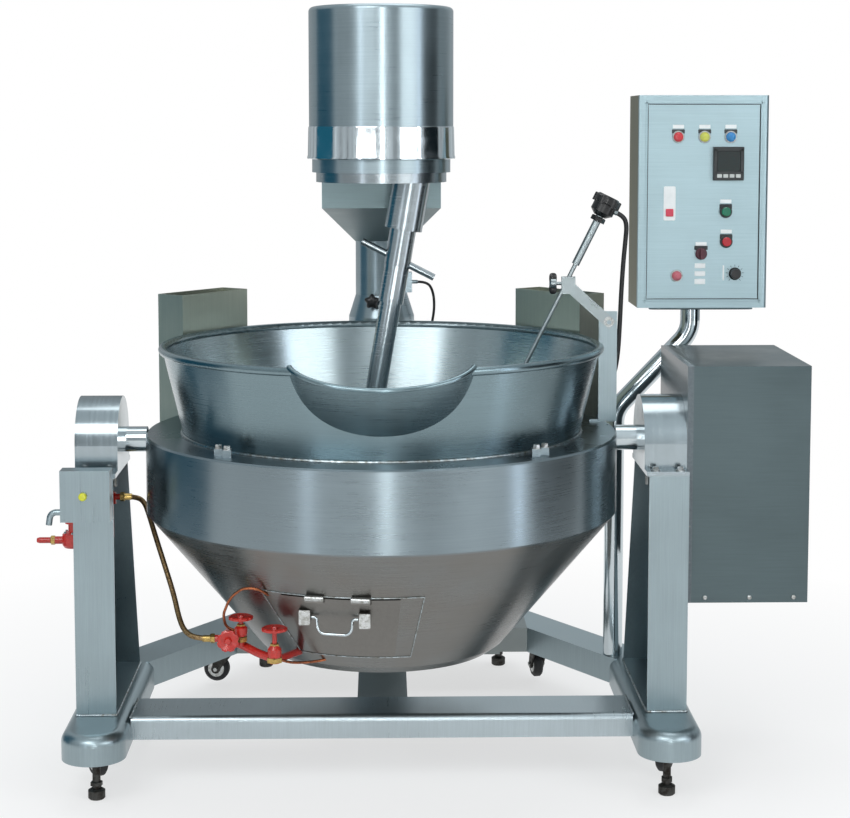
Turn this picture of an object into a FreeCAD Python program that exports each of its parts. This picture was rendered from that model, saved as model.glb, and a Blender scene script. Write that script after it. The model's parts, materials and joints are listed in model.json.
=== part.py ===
import FreeCAD, Part
import Sketcher
import math
import os

# Cooking mixer: a gas heated tilting kettle with an oblique planetary stirrer.
# Millimetres, +Z up, -Y is the operator's side. Every place below is measured from
# the kettle's own axis on the floor, and origin_x and origin_y move the whole
# machine so that its bounding box stands centred on the origin.

SIZES = {
    # where the kettle axis stands in the machine's frame
    "origin_x": -83.0,
    "origin_y": -163.0,
    # pot
    "rim_radius": 497.0,
    "rim_height": 1000.0,
    "bead_radius": 9.0,
    "pot_wall": 4.0,
    "wall_radius": 451.0,
    "flare_height": 803.0,
    "dish_radius": 620.0,
    "dish_centre_height": 970.0,
    "spout_radius": 200.0,
    "spout_rise": 1.156,
    "spout_bottom_height": 845.0,
    "lip_drop": 0.404,
    # jacket
    "jacket_radius": 538.5,
    "jacket_skin": 3.0,
    "ledge_height": 800.0,
    "band_bottom": 624.0,
    "cone_slope": 0.835,
    "cone_bottom": 318.0,
    "jacket_bottom": 300.0,
    "air_hole_radius": 90.0,
    "burner_radius": 200.0,
    "burner_tube": 11.0,
    "burner_height": 331.0,
    # burner hatch in the cone
    "hatch_low": 360.0,
    "hatch_high": 500.0,
    "hatch_start": 242.0,
    "hatch_sweep": 32.0,
    "hatch_lap": 8.0,
    "hatch_plate": 3.0,
    # trunnions and bearings
    "trunnion_height": 778.0,
    "trunnion_radius": 29.0,
    "trunnion_bore": 22.0,
    "running_clearance": 0.06,
    "body_clearance": 0.3,
    "drum_radius": 100.0,
    "drum_inner": 594.0,
    "flange_plate": 10.0,
    # flues; their low end is given from the ledge, their top from the rim and their
    # inner face from the jacket's skin
    "flue_width": 235.0,
    "flue_depth": 80.0,
    "flue_inner": -30.5,
    "flue_low": -100.0,
    "flue_top": 90.0,
    "flue_skin": 3.0,
    "flue_angle": 37.0,
    # base frame
    "rail_top": 170.0,
    "rail_bottom": 105.0,
    "boot_inner": 567.0,
    "boot_width": 142.0,
    "boot_rear": 297.0,
    "nose_centre": 229.0,
    "boot_round": 24.0,
    "rail_breadth": 131.0,
    "rail_slope": 0.642,
    "crossbar_front": -150.0,
    "crossbar_depth": 140.0,
    "crossbar_height": 53.0,
    "crossbar_round": 14.0,
    "beam_width": 120.0,
    "beam_top": 125.0,
    "cross_front": 600.0,
    "cross_rear": 884.0,
    "base_plate_width": 626.0,
    "base_plate_height": 12.0,
    # posts
    "post_inner": 600.0,
    "post_width": 90.0,
    "post_front": -140.0,
    "post_top": 712.0,
    "post_top_rear": 112.0,
    "post_foot_rear": 290.0,
    "post_wall": 4.0,
    # gas supply on the left post
    "gas_pipe_radius": 8.0,
    "gas_y": 40.0,
    "gas_height": 540.0,
    "gas_riser_x": -632.0,
    "hose_exit_height": 636.0,
    # gas train's main valve beside the cone
    "train_height": 385.0,
    "train_standoff": 88.995,
    "train_bearing": 219.1198,
    # tilt drive
    "drive_plate": 14.0,
    "drive_outer": 970.0,
    "drive_front": -100.0,
    "drive_rear": 320.0,
    "drive_low": 412.0,
    "drive_top": 955.0,
    "cover_wall": 3.0,
    # panel and its pipe
    "panel_left": 614.0,
    "panel_width": 311.0,
    "panel_low": 1059.0,
    "panel_high": 1567.0,
    "panel_front": 200.0,
    "panel_depth": 170.0,
    "door_thickness": 18.0,
    "panel_wall": 2.5,
    "pipe_radius": 24.0,
    "pipe_bend": 75.0,
    "pipe_foot_x": 580.0,
    "pipe_head_x": 765.0,
    "pipe_y": 346.0,
    # mast, arm and head
    "mast_y": 680.0,
    "mast_radius": 68.0,
    "mast_foot_radius": 86.0,
    "mast_split": 1052.0,
    "hinge_y": 770.0,
    "hinge_ear": 24.0,
    "hinge_pin": 11.0,
    "arm_half_width": 141.0,
    "arm_low": 1300.0,
    "arm_high": 1480.0,
    "arm_front": 175.0,
    "arm_rear": 775.0,
    "funnel_low": 1196.0,
    "head_radius": 163.6,
    "head_top": 1760.0,
    "head_low": 1493.0,
    "band_low": 1420.0,
    "ring_radius": 157.0,
    "ring_low": 1390.0,
    "carrier_radius": 148.0,
    "carrier_low": 1368.0,
    # oblique stirrer, measured along its own axis from the dish centre
    "shaft_tilt": 9.7,
    "sleeve_radius": 43.0,
    "sleeve_low": 294.0,
    "spindle_radius": 30.0,
    "spindle_low": 210.0,
    "spindle_high": 390.0,
    "collar_radius": 28.5,
    "collar_low": 124.0,
    "shaft_radius": 24.25,
    "shaft_low": -190.0,
    "bow_radius": 592.0,
    "bow_depth": 34.0,
    "bow_thickness": 14.0,
    "bow_half_angle": 31.0,
    "scraper_reach": 610.0,
    "scraper_depth": 30.0,
    "scraper_thickness": 10.0,
    # feet and casters
    "foot_pad_radius": 19.0,
    "foot_pad_height": 24.0,
    "foot_stem_radius": 9.0,
    "wheel_radius": 34.0,
    "wheel_width": 24.0,
    "wheel_height": 47.0,
    "caster_trail": 24.0,
    "axle_radius": 5.0,
    # temperature probe
    "probe_y": 100.0,
    "probe_stem": 5.0,
    "probe_sheath": 9.0,
}

doc = FreeCAD.newDocument("CookingMixer")
sheet = doc.addObject("Spreadsheet::Sheet", "Dims")
for row, (name, value) in enumerate(SIZES.items(), start=1):
    sheet.set("A%d" % row, name)
    sheet.set("B%d" % row, str(value))
    sheet.setAlias("B%d" % row, name)
doc.recompute()


class Size:
    """A number that carries the sheet expression it comes from."""

    def __init__(self, value, text):
        self.value = value
        self.text = text

    def __add__(self, other):
        other = size(other)
        return Size(self.value + other.value, "(%s + %s)" % (self.text, other.text))

    def __sub__(self, other):
        other = size(other)
        return Size(self.value - other.value, "(%s - %s)" % (self.text, other.text))

    def __mul__(self, other):
        other = size(other)
        return Size(self.value * other.value, "(%s * %s)" % (self.text, other.text))

    def __truediv__(self, other):
        other = size(other)
        return Size(self.value / other.value, "(%s / %s)" % (self.text, other.text))

    def __neg__(self):
        return Size(-self.value, "(0 - %s)" % self.text)

    def __radd__(self, other):
        return size(other) + self

    def __rsub__(self, other):
        return size(other) - self

    def __rmul__(self, other):
        return size(other) * self


def size(number):
    if isinstance(number, Size):
        return number
    return Size(float(number), "(%r)" % float(number))


class Dims:
    """Each size of the sheet as an attribute."""


D = Dims()
for name, value in SIZES.items():
    setattr(D, name, Size(float(sheet.get(name)), "Dims." + name))


class Free:
    """A sketch coordinate that its arc decides; the number is only a start for the solver."""

    def __init__(self, guess):
        self.guess = size(guess).value


def bind(thing, prop, amount):
    thing.setExpression(prop, size(amount).text)


PIECES = []


def piece(thing, label):
    """Give a finished sub-part its node name and list it for export."""
    thing.Label = label
    PIECES.append(thing)
    return thing


def place(thing, x=0, y=0, z=0, rotation=None):
    """Stand a piece at a point measured from the kettle axis on the floor."""
    if rotation is not None:
        thing.Placement.Rotation = rotation
    bind(thing, "Placement.Base.x", D.origin_x + x)
    bind(thing, "Placement.Base.y", D.origin_y + y)
    bind(thing, "Placement.Base.z", z)
    return thing


def turn(x, y, z, degrees):
    return FreeCAD.Rotation(FreeCAD.Vector(x, y, z), degrees)


# each rotation takes a piece's own +Z to the named direction
TOWARDS = {
    "up": turn(0, 0, 1, 0),
    "down": turn(1, 0, 0, 180),
    "front": turn(1, 0, 0, 90),
    "rear": turn(1, 0, 0, -90),
    "right": turn(0, 1, 0, 90),
    "left": turn(0, 1, 0, -90),
}


def block(label, x0, x1, y0, y1, z0, z1):
    box = doc.addObject("Part::Box", label)
    bind(box, "Length", size(x1) - x0)
    bind(box, "Width", size(y1) - y0)
    bind(box, "Height", size(z1) - z0)
    return place(box, x0, y0, z0)


def rod(label, radius, length, x, y, z, towards="up"):
    cylinder = doc.addObject("Part::Cylinder", label)
    bind(cylinder, "Radius", radius)
    bind(cylinder, "Height", length)
    return place(cylinder, x, y, z, TOWARDS[towards])


def cut(label, base, tool):
    result = doc.addObject("Part::Cut", label)
    result.Base = base
    result.Tool = tool
    return result


def common(label, base, tool):
    result = doc.addObject("Part::Common", label)
    result.Base = base
    result.Tool = tool
    return result


def fuse(label, shapes):
    result = doc.addObject("Part::MultiFuse", label)
    result.Shapes = shapes
    return result


def mirror(label, source):
    """The same piece on the other side of the kettle's middle plane."""
    result = doc.addObject("Part::Mirroring", label)
    result.Source = source
    result.Normal = FreeCAD.Vector(1, 0, 0)
    bind(result, "Base.x", D.origin_x)
    return result


def body(label, x=0, y=0, z=0, rotation=None):
    return place(doc.addObject("PartDesign::Body", label), x, y, z, rotation)


def origin_plane(owner, role):
    for feature in owner.Origin.OriginFeatures:
        if feature.Role == role:
            return feature
    raise ValueError(role)


def constrain_point(sketch, geometry, point, u, v, done):
    """Tie one point of a sketch to its two coordinates."""
    for kind, amount, axis in (("DistanceX", u, -2), ("DistanceY", v, -1)):
        if isinstance(amount, Free):
            continue
        if size(amount).text == size(0).text:
            sketch.addConstraint(Sketcher.Constraint("PointOnObject", geometry, point, axis))
        else:
            number = sketch.addConstraint(
                Sketcher.Constraint(kind, -1, 1, geometry, point, size(amount).value)
            )
            done.append((number, size(amount).text))


def outline(owner, label, role, corners, arcs=None, offset=0):
    """A closed sketch through the corners; arcs maps a side's number to its centre and radius,
    with the radius negative where the arc runs clockwise."""
    arcs = arcs or {}
    sketch = owner.newObject("Sketcher::SketchObject", label)
    sketch.AttachmentSupport = [(origin_plane(owner, role), "")]
    sketch.MapMode = "FlatFace"
    bind(sketch, "AttachmentOffset.Base.z", offset)
    points = []
    for u, v in corners:
        pair = [c.guess if isinstance(c, Free) else size(c).value for c in (u, v)]
        points.append(FreeCAD.Vector(pair[0], pair[1], 0))
    bound = []
    count = len(points)
    starts = []
    for i in range(count):
        a, b = points[i], points[(i + 1) % count]
        if i not in arcs:
            sketch.addGeometry(Part.LineSegment(a, b), False)
            starts.append((1, 2))
            continue
        cu, cv, radius = arcs[i]
        centre = FreeCAD.Vector(size(cu).value, size(cv).value, 0)
        clockwise = size(radius).value < 0
        first, last = (b, a) if clockwise else (a, b)
        start = math.atan2(first.y - centre.y, first.x - centre.x)
        end = math.atan2(last.y - centre.y, last.x - centre.x)
        circle = Part.Circle(centre, FreeCAD.Vector(0, 0, 1), abs(size(radius).value))
        sketch.addGeometry(Part.ArcOfCircle(circle, start, end), False)
        starts.append((2, 1) if clockwise else (1, 2))
    for i in range(count):
        j = (i + 1) % count
        sketch.addConstraint(Sketcher.Constraint("Coincident", i, starts[i][1], j, starts[j][0]))
    for i, (u, v) in enumerate(corners):
        constrain_point(sketch, i, starts[i][0], u, v, bound)
    for i, (cu, cv, radius) in arcs.items():
        constrain_point(sketch, i, 3, cu, cv, bound)
        reach = radius if size(radius).value > 0 else -size(radius)
        number = sketch.addConstraint(Sketcher.Constraint("Radius", i, size(reach).value))
        bound.append((number, size(reach).text))
    for number, text in bound:
        sketch.setExpression("Constraints[%d]" % number, text)
    return sketch


def pad(owner, label, sketch, length, reversed_=False):
    feature = owner.newObject("PartDesign::Pad", label)
    feature.Profile = sketch
    feature.Reversed = reversed_
    bind(feature, "Length", length)
    sketch.Visibility = False
    return feature


def pocket(owner, label, sketch, depth, reversed_=False):
    feature = owner.newObject("PartDesign::Pocket", label)
    feature.Profile = sketch
    feature.Reversed = reversed_
    bind(feature, "Length", depth)
    sketch.Visibility = False
    return feature


def revolve(owner, label, sketch):
    feature = owner.newObject("PartDesign::Revolution", label)
    feature.Profile = sketch
    feature.ReferenceAxis = (sketch, ["V_Axis"])
    feature.Angle = 360
    return feature


def turned(label, corners, x=0, y=0, z=0, towards="up", rotation=None, arcs=None):
    """A lathe part: corners are radius and height along its own axis."""
    owner = body(label, x, y, z, rotation or TOWARDS[towards])
    sketch = outline(owner, label + "_profile", "XZ_Plane", corners, arcs)
    revolve(owner, label + "_turned", sketch)
    return owner


def slab(label, role, corners, low, thick, arcs=None, x=0, y=0, z=0, rotation=None):
    """A profile on one of the main planes, padded from low by thick along the plane's normal."""
    owner = body(label, x, y, z, rotation)
    sketch = outline(owner, label + "_outline", role, corners, arcs, low)
    pad(owner, label + "_pad", sketch, thick)
    return owner


def round_edges(owner, label, radius, picks):
    """Fillet the edges of the body's tip that the test picks."""
    doc.recompute()
    tip = owner.Tip
    names = []
    for number, edge in enumerate(tip.Shape.Edges, start=1):
        if picks(edge):
            names.append("Edge%d" % number)
    fillet = owner.newObject("PartDesign::Fillet", label)
    fillet.Base = (tip, names)
    bind(fillet, "Radius", radius)
    return fillet


def held_shape(label, shape):
    """A piece whose form needs Part's own functions; its sizes come from the sheet."""
    feature = doc.addObject("Part::Feature", label)
    feature.Shape = shape
    return place(feature)


def vectors(points):
    return [FreeCAD.Vector(*[size(c).value for c in point]) for point in points]


def bent_path(points, bend=None):
    """Straight runs joined by tangent arcs, each of 0.45 of the shorter run beside it, or of one bend
    radius."""
    points = vectors(points)
    edges = []
    start = points[0]
    radii = []
    for before, corner, after in zip(points, points[1:], points[2:]):
        toward = (before - corner).normalize()
        away = (after - corner).normalize()
        trim = 0.45 * min((before - corner).Length, (after - corner).Length)
        turn_angle = math.pi - toward.getAngle(away)
        if bend is not None:
            trim = bend * math.tan(turn_angle / 2)
        radii.append(trim / math.tan(turn_angle / 2))
        first = corner + toward * trim
        last = corner + away * trim
        inward = (toward + away).normalize()
        reach = radii[-1] / math.cos(turn_angle / 2) - radii[-1]
        middle = corner + inward * reach
        edges.append(Part.makeLine(start, first))
        edges.append(Part.Arc(first, middle, last).toShape())
        start = last
    edges.append(Part.makeLine(start, points[-1]))
    return Part.Wire(edges), radii


def bent_tube(label, points, radius, bend=None):
    """A round tube along a bent path."""
    path, radii = bent_path(points, bend)
    first, second = vectors(points[:2])
    ring = Part.Wire([Part.makeCircle(size(radius).value, first, (second - first).normalize())])
    pipe = path.makePipeShell([ring], True, False)
    print("%s bends %s length %.0f" % (label, [round(r) for r in radii], path.Length))
    return held_shape(label, pipe)


def sided(thing, label):
    """List a right-hand piece and its mirror image as one node of two solids."""
    thing.Label = label + "_right_half"
    pair = fuse(label + "_pair", [thing, mirror(label + "_left_half", thing)])
    return piece(pair, label)


# base frame
def boot_outer():
    return D.boot_inner + D.boot_width


def cross_half():
    """Half the rear crossmember's width, where the slanting rails meet it."""
    return boot_outer() - D.rail_breadth - D.rail_slope * (D.cross_front - D.boot_rear)


def base_frame():
    """A low frame: side rails with rounded noses, a crossbar, a middle beam and a rear crossmember."""
    outer, inner = boot_outer(), boot_outer() - D.rail_breadth
    nose_x = D.boot_inner + D.boot_width / 2
    half_cross = cross_half()
    rail_end = D.boot_rear + (outer - half_cross) / D.rail_slope
    height = D.rail_top - D.rail_bottom

    boot = slab(
        "right_boot",
        "XY_Plane",
        [
            (D.boot_inner, D.boot_rear),
            (Free(D.boot_inner), -D.nose_centre),
            (Free(outer), -D.nose_centre),
            (outer, D.boot_rear),
        ],
        D.rail_bottom,
        height,
        {1: (nose_x, -D.nose_centre, D.boot_width / 2)},
    )
    top = D.rail_top.value
    round_edges(
        boot,
        "right_boot_round",
        D.boot_round,
        lambda edge: all(abs(v.Z - top) < 0.1 and v.Y < D.boot_rear.value + 1 for v in edge.Vertexes)
        and edge.BoundBox.YMin < D.boot_rear.value - 1,
    )
    rail = slab(
        "right_slant",
        "XY_Plane",
        [
            (inner, D.boot_rear),
            (outer, D.boot_rear),
            (half_cross, rail_end),
            (half_cross, D.cross_front),
        ],
        D.rail_bottom,
        height,
    )
    right = fuse("right_rail_whole", [boot, rail])
    piece(right, "right_rail")
    piece(mirror("left_rail_whole", right), "left_rail")

    round_off = D.crossbar_round
    low = D.rail_top - D.crossbar_height
    bar = slab(
        "front_crossbar",
        "YZ_Plane",
        [
            (D.crossbar_front, low),
            (D.crossbar_front + D.crossbar_depth, low),
            (D.crossbar_front + D.crossbar_depth, D.rail_top),
            (D.crossbar_front + round_off, Free(D.rail_top)),
            (Free(D.crossbar_front), D.rail_top - round_off),
        ],
        -D.boot_inner,
        D.boot_inner * 2,
        {3: (D.crossbar_front + round_off, D.rail_top - round_off, round_off)},
    )
    piece(bar, "front_crossbar")

    half = D.beam_width / 2
    beam_rear = D.crossbar_front + D.crossbar_depth
    piece(
        block("beam", -half, half, beam_rear, D.cross_front, D.rail_bottom, D.beam_top), "centre_beam"
    )
    cross = block("cross", -half_cross, half_cross, D.cross_front, D.cross_rear, D.rail_bottom, D.rail_top)
    half_plate = D.base_plate_width / 2
    plate = block(
        "cross_plate",
        -half_plate,
        half_plate,
        D.cross_front + 20,
        D.cross_rear - 60,
        D.rail_bottom - D.base_plate_height,
        D.rail_bottom,
    )
    piece(fuse("cross_whole", [cross, plate]), "rear_crossmember")


def posts():
    """Folded channels, open towards the kettle, that lean back to a narrow top."""
    foot, top = D.rail_top, D.post_top
    owner = body("right_post")
    sketch = outline(
        owner,
        "right_post_side",
        "YZ_Plane",
        [(D.post_front, foot), (D.post_foot_rear, foot), (D.post_top_rear, top), (D.post_front, top)],
        offset=D.post_inner,
    )
    pad(owner, "right_post_pad", sketch, D.post_width)
    wall = D.post_wall
    hollow = outline(
        owner,
        "right_post_hollow",
        "YZ_Plane",
        [
            (D.post_front + wall, foot + wall),
            (D.post_foot_rear - wall, foot + wall),
            (D.post_top_rear - wall, top - wall),
            (D.post_front + wall, top - wall),
        ],
        offset=D.post_inner,
    )
    pocket(owner, "right_post_pocket", hollow, D.post_width - wall, True)
    piece(owner, "right_post")
    inlet = rod(
        "left_post_inlet",
        D.gas_pipe_radius,
        D.post_wall * 3,
        -(D.post_inner + D.post_width + D.post_wall),
        D.gas_y,
        D.gas_height,
        "right",
    )
    piece(cut("left_post_whole", mirror("left_post_blank", owner), inlet), "left_post")


def bearings():
    """Half-round drums on base plates, bored for the trunnions."""
    outer = D.post_inner + D.post_width
    plate_top = D.post_top + D.flange_plate
    drum = slab(
        "right_drum",
        "YZ_Plane",
        [
            (-D.drum_radius, plate_top),
            (D.drum_radius, plate_top),
            (Free(D.drum_radius), D.trunnion_height),
            (Free(-D.drum_radius), D.trunnion_height),
        ],
        D.drum_inner,
        outer - D.drum_inner,
        {2: (0, D.trunnion_height, D.drum_radius)},
    )
    plate = block(
        "right_drum_plate", D.drum_inner, outer, D.post_front, D.post_top_rear, D.post_top, plate_top
    )
    bore = rod(
        "right_drum_bore",
        D.trunnion_radius + D.running_clearance,
        outer - D.drum_inner,
        D.drum_inner,
        0,
        D.trunnion_height,
        "right",
    )
    whole = cut("right_drum_bored", fuse("right_drum_solid", [drum, plate]), bore)
    sided(whole, "bearing_housings")


def feet():
    """Round levelling feet under the rails' front ends and under the rear crossmember."""
    corner_set = 3.0
    places = [
        (boot_outer() - D.boot_width / 2, D.post_front - 60),
        (cross_half() - 60.474, D.cross_rear - 34),
    ]
    stands = []
    for side in (1, -1):
        for x, y in places:
            label = "foot_%d" % (len(stands) + 1)
            profile = [
                (0, 0),
                (D.foot_pad_radius - corner_set, 0),
                (D.foot_pad_radius, corner_set),
                (D.foot_pad_radius, D.foot_pad_height - 4),
                (D.foot_stem_radius + 4, D.foot_pad_height),
                (D.foot_stem_radius, D.foot_pad_height),
                (D.foot_stem_radius, D.rail_bottom),
                (0, D.rail_bottom),
            ]
            stands.append(turned(label, profile, x * side, y, 0))
    piece(fuse("feet_whole", stands), "levelling_feet")


# name, side, end of the frame and the way the wheel trails at rest
CASTERS = [
    ("front_left", -1, "front", 35.0),
    ("front_right", 1, "front", -30.0),
    ("rear_left", -1, "rear", 80.0),
    ("rear_right", 1, "rear", 10.0),
]


def casters():
    """Swivel forks under the rails, each with its own wheel, lifted just clear of the floor."""
    cheek_round = 12.0
    places = {
        "front": (boot_outer() - D.boot_width / 2, D.crossbar_front + 45),
        "rear": (cross_half() + 36.526, D.cross_front + 68),
    }
    for name, side, end, yaw in CASTERS:
        x, y = places[end][0] * side, places[end][1]
        spin = turn(0, 0, 1, yaw)
        top = D.rail_bottom
        crown = rod(name + "_crown", 24, 14, x, y, top - 14 - D.body_clearance)
        half = D.wheel_width / 2 + 2
        owner = body(name + "_cheeks", x, y, 0, spin)
        cheek = outline(
            owner,
            name + "_cheek_side",
            "YZ_Plane",
            [
                (-22, top - 14 - D.body_clearance),
                (Free(D.caster_trail - cheek_round), D.wheel_height),
                (Free(D.caster_trail + cheek_round), D.wheel_height),
                (22, top - 14 - D.body_clearance),
            ],
            {1: (D.caster_trail, D.wheel_height, cheek_round)},
            -(half + 4),
        )
        pad(owner, name + "_cheek_pad", cheek, (half + 4) * 2)
        gap = outline(
            owner,
            name + "_gap_side",
            "YZ_Plane",
            [(-60, 0), (80, 0), (80, top - 20), (-60, top - 20)],
            offset=-half,
        )
        pocket(owner, name + "_gap", gap, half * 2, True)
        wide = D.wheel_width / 2
        lateral = FreeCAD.Rotation(spin).multiply(TOWARDS["right"])
        reach = D.caster_trail * math.cos(math.radians(yaw))
        aside = D.caster_trail * -math.sin(math.radians(yaw))
        axle = turned(
            name + "_axle",
            [(0, -(half + 1)), (D.axle_radius, -(half + 1)), (D.axle_radius, half + 1), (0, half + 1)],
            x + aside,
            y + reach,
            D.wheel_height,
            rotation=lateral,
        )
        piece(fuse(name + "_fork_whole", [crown, owner, axle]), name + "_caster_fork")
        wheel = turned(
            name + "_wheel",
            [
                (D.axle_radius + D.running_clearance, -wide),
                (D.wheel_radius - 5, -wide),
                (D.wheel_radius, -wide + 5),
                (D.wheel_radius, wide - 5),
                (D.wheel_radius - 5, wide),
                (D.axle_radius + D.running_clearance, wide),
            ],
            x + aside,
            y + reach,
            D.wheel_height,
            rotation=lateral,
        )
        piece(wheel, name + "_wheel")


# kettle
def dish_edge(grow):
    """The height where the dish meets the pot's wall, both moved outwards by grow."""
    dish = (D.dish_radius + grow).value
    wall = (D.wall_radius + grow).value
    return D.dish_centre_height.value - math.sqrt(dish ** 2 - wall ** 2)


def kettle_solid(label, grow):
    """The pot's inside as a solid, grown outwards by a wall, up to well above the rim."""
    high = D.rim_height + 300
    flare = (D.rim_radius - D.wall_radius) / (D.rim_height - D.flare_height)
    return turned(
        label,
        [
            (0, Free(D.dish_centre_height - D.dish_radius - grow)),
            (D.wall_radius + grow, Free(dish_edge(grow))),
            (D.wall_radius + grow, D.flare_height),
            (D.wall_radius + grow + flare * (high - D.flare_height), high),
            (0, high),
        ],
        arcs={0: (0, D.dish_centre_height, D.dish_radius + grow)},
    )


def spout_start():
    """The lip's bar begins well inside the pot."""
    return 117 - D.rim_radius


def spout_core(label, radius):
    """A round bar sheared forwards and upwards, the form of the pouring lip."""
    reach = 400.0
    mouth = D.spout_radius.value - 5
    front = math.sqrt(D.rim_radius.value ** 2 - mouth ** 2)
    centre = D.spout_bottom_height + D.spout_radius - D.spout_rise * (front + spout_start())
    disc = doc.addObject("Part::Circle", label + "_ring")
    bind(disc, "Radius", radius)
    place(disc, 0, spout_start(), centre, TOWARDS["front"])
    bar = doc.addObject("Part::Extrusion", label)
    bar.Base = disc
    bar.DirMode = "Custom"
    bar.Dir = FreeCAD.Vector(0, -1, D.spout_rise.value)
    bind(bar, "Dir.z", D.spout_rise)
    bind(bar, "LengthFwd", reach)
    bar.Solid = True
    return bar


def pot():
    inner_high = D.rim_height
    flare_wall = D.wall_radius + D.pot_wall
    shell = turned(
        "pot_shell",
        [
            (0, Free(D.dish_centre_height - D.dish_radius)),
            (D.wall_radius, Free(dish_edge(0))),
            (D.wall_radius, D.flare_height),
            (D.rim_radius, inner_high),
            (D.rim_radius + D.pot_wall, inner_high),
            (flare_wall, D.flare_height),
            (flare_wall, Free(dish_edge(D.pot_wall))),
            (0, Free(D.dish_centre_height - D.dish_radius - D.pot_wall)),
        ],
        arcs={
            0: (0, D.dish_centre_height, D.dish_radius),
            6: (0, D.dish_centre_height, -(D.dish_radius + D.pot_wall)),
        },
    )
    bead = doc.addObject("Part::Torus", "pot_bead")
    bind(bead, "Radius1", D.rim_radius + D.pot_wall / 2)
    bind(bead, "Radius2", D.bead_radius)
    place(bead, 0, 0, D.rim_height - D.bead_radius)
    front = 36.6 - D.rim_radius
    far = front - 179.6
    side = D.spout_radius + 50
    keep = slab(
        "spout_room",
        "YZ_Plane",
        [
            (spout_start(), D.spout_bottom_height - 100),
            (far, D.spout_bottom_height - 100),
            (far, D.rim_height - D.lip_drop * (front - far)),
            (front, D.rim_height),
            (spout_start(), D.rim_height),
        ],
        -side,
        side * 2,
    )
    outer = common("spout_trimmed", spout_core("spout_outer", D.spout_radius), keep)
    lip = cut("spout_skin", outer, kettle_solid("pot_room", 0))
    solid = fuse("pot_with_spout", [shell, bead, lip])
    piece(cut("pot_whole", solid, spout_core("spout_inner", D.spout_radius - D.pot_wall)), "pot")


def cone_radius(height):
    return D.jacket_radius - D.cone_slope * (D.band_bottom - height)


def sector(label, low, high, lap):
    """A pie slice through the cone where the burner hatch sits."""
    cylinder = doc.addObject("Part::Cylinder", label)
    bind(cylinder, "Radius", D.jacket_radius + 60)
    bind(cylinder, "Height", size(high) - low)
    bind(cylinder, "Angle", D.hatch_sweep + lap * 2)
    place(cylinder, 0, 0, low)
    cylinder.Placement.Rotation = turn(0, 0, 1, (D.hatch_start - lap).value)
    bind(cylinder, "Placement.Rotation.Angle", D.hatch_start - lap)
    return cylinder


def jacket():
    skin = D.jacket_skin
    slant = skin * 1.3
    inner = D.wall_radius + D.pot_wall
    shell = turned(
        "jacket_shell",
        [
            (inner, D.ledge_height - skin),
            (D.jacket_radius - skin, D.ledge_height - skin),
            (D.jacket_radius - skin, D.band_bottom + 1),
            (cone_radius(D.cone_bottom) - slant, D.cone_bottom + 1),
            (cone_radius(D.cone_bottom) - 25, D.jacket_bottom + skin),
            (D.air_hole_radius, D.jacket_bottom + skin),
            (D.air_hole_radius, D.jacket_bottom),
            (cone_radius(D.cone_bottom) - 25, D.jacket_bottom),
            (cone_radius(D.cone_bottom), D.cone_bottom),
            (D.jacket_radius, D.band_bottom),
            (D.jacket_radius, D.ledge_height - 4),
            (D.jacket_radius - 4, D.ledge_height),
            (inner, D.ledge_height),
        ],
    )
    window = sector("hatch_window", D.hatch_low, D.hatch_high, 0)
    middle = (inner + D.jacket_radius) / 2
    lugs = []
    for number, angle in enumerate((46.0, 49.0, 131.0, 134.0)):
        a = math.radians(-angle)
        x, y = middle * math.cos(a), middle * math.sin(a)
        lug = block("ledge_lug_%d" % number, x - 9, x + 9, y - 9, y + 9, D.ledge_height, D.ledge_height + 16)
        lugs.append(lug)
    lugs.append(rod("ledge_gland", 7, 12, D.jacket_radius - 22.5, D.probe_y + 24, D.ledge_height))
    piece(fuse("jacket_whole", [cut("jacket_open", shell, window)] + lugs), "jacket")


def trunnions():
    """Hollow stub shafts butted against the jacket's band; the right one reaches the gearbox."""
    tubes = []
    band = rod("trunnion_band", D.jacket_radius, 400, 0, 0, D.trunnion_height - 178)
    outer = D.post_inner + D.post_width
    for label, length, towards in (
        ("right", outer + 110, "right"),
        ("left", outer - 22, "left"),
    ):
        solid = rod(label + "_stub", D.trunnion_radius, length, 0, 0, D.trunnion_height, towards)
        bore = rod(label + "_stub_bore", D.trunnion_bore, length, 0, 0, D.trunnion_height, towards)
        tubes.append(cut(label + "_stub_cut", cut(label + "_stub_tube", solid, bore), band))
    piece(fuse("trunnion_pair", tubes), "trunnions")


def flues():
    """Square chimneys that leave the jacket on each side and stand behind the trunnions."""
    half = D.flue_width / 2
    skin = D.flue_skin
    low, top = D.ledge_height + D.flue_low, D.rim_height + D.flue_top
    radial = math.radians(D.flue_angle.value)
    parts = []
    for label, inset in (("flue_outer", size(0)), ("flue_inner", skin)):
        box = doc.addObject("Part::Box", label)
        bind(box, "Length", D.flue_depth - inset * 2)
        bind(box, "Width", D.flue_width - inset * 2)
        bind(box, "Height", top - low)
        along = D.jacket_radius + D.flue_inner + inset
        aside = half - inset
        place(
            box,
            along * math.cos(radial) + aside * math.sin(radial),
            along * math.sin(radial) - aside * math.cos(radial),
            low + inset,
        )
        box.Placement.Rotation = turn(0, 0, 1, D.flue_angle.value)
        parts.append(box)
    duct = cut("flue_duct", parts[0], parts[1])
    band_low = low - 100
    band = rod("flue_band", D.jacket_radius, D.ledge_height - band_low, 0, 0, band_low)
    sided(cut("flue_fitted", duct, band), "flues")


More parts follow.
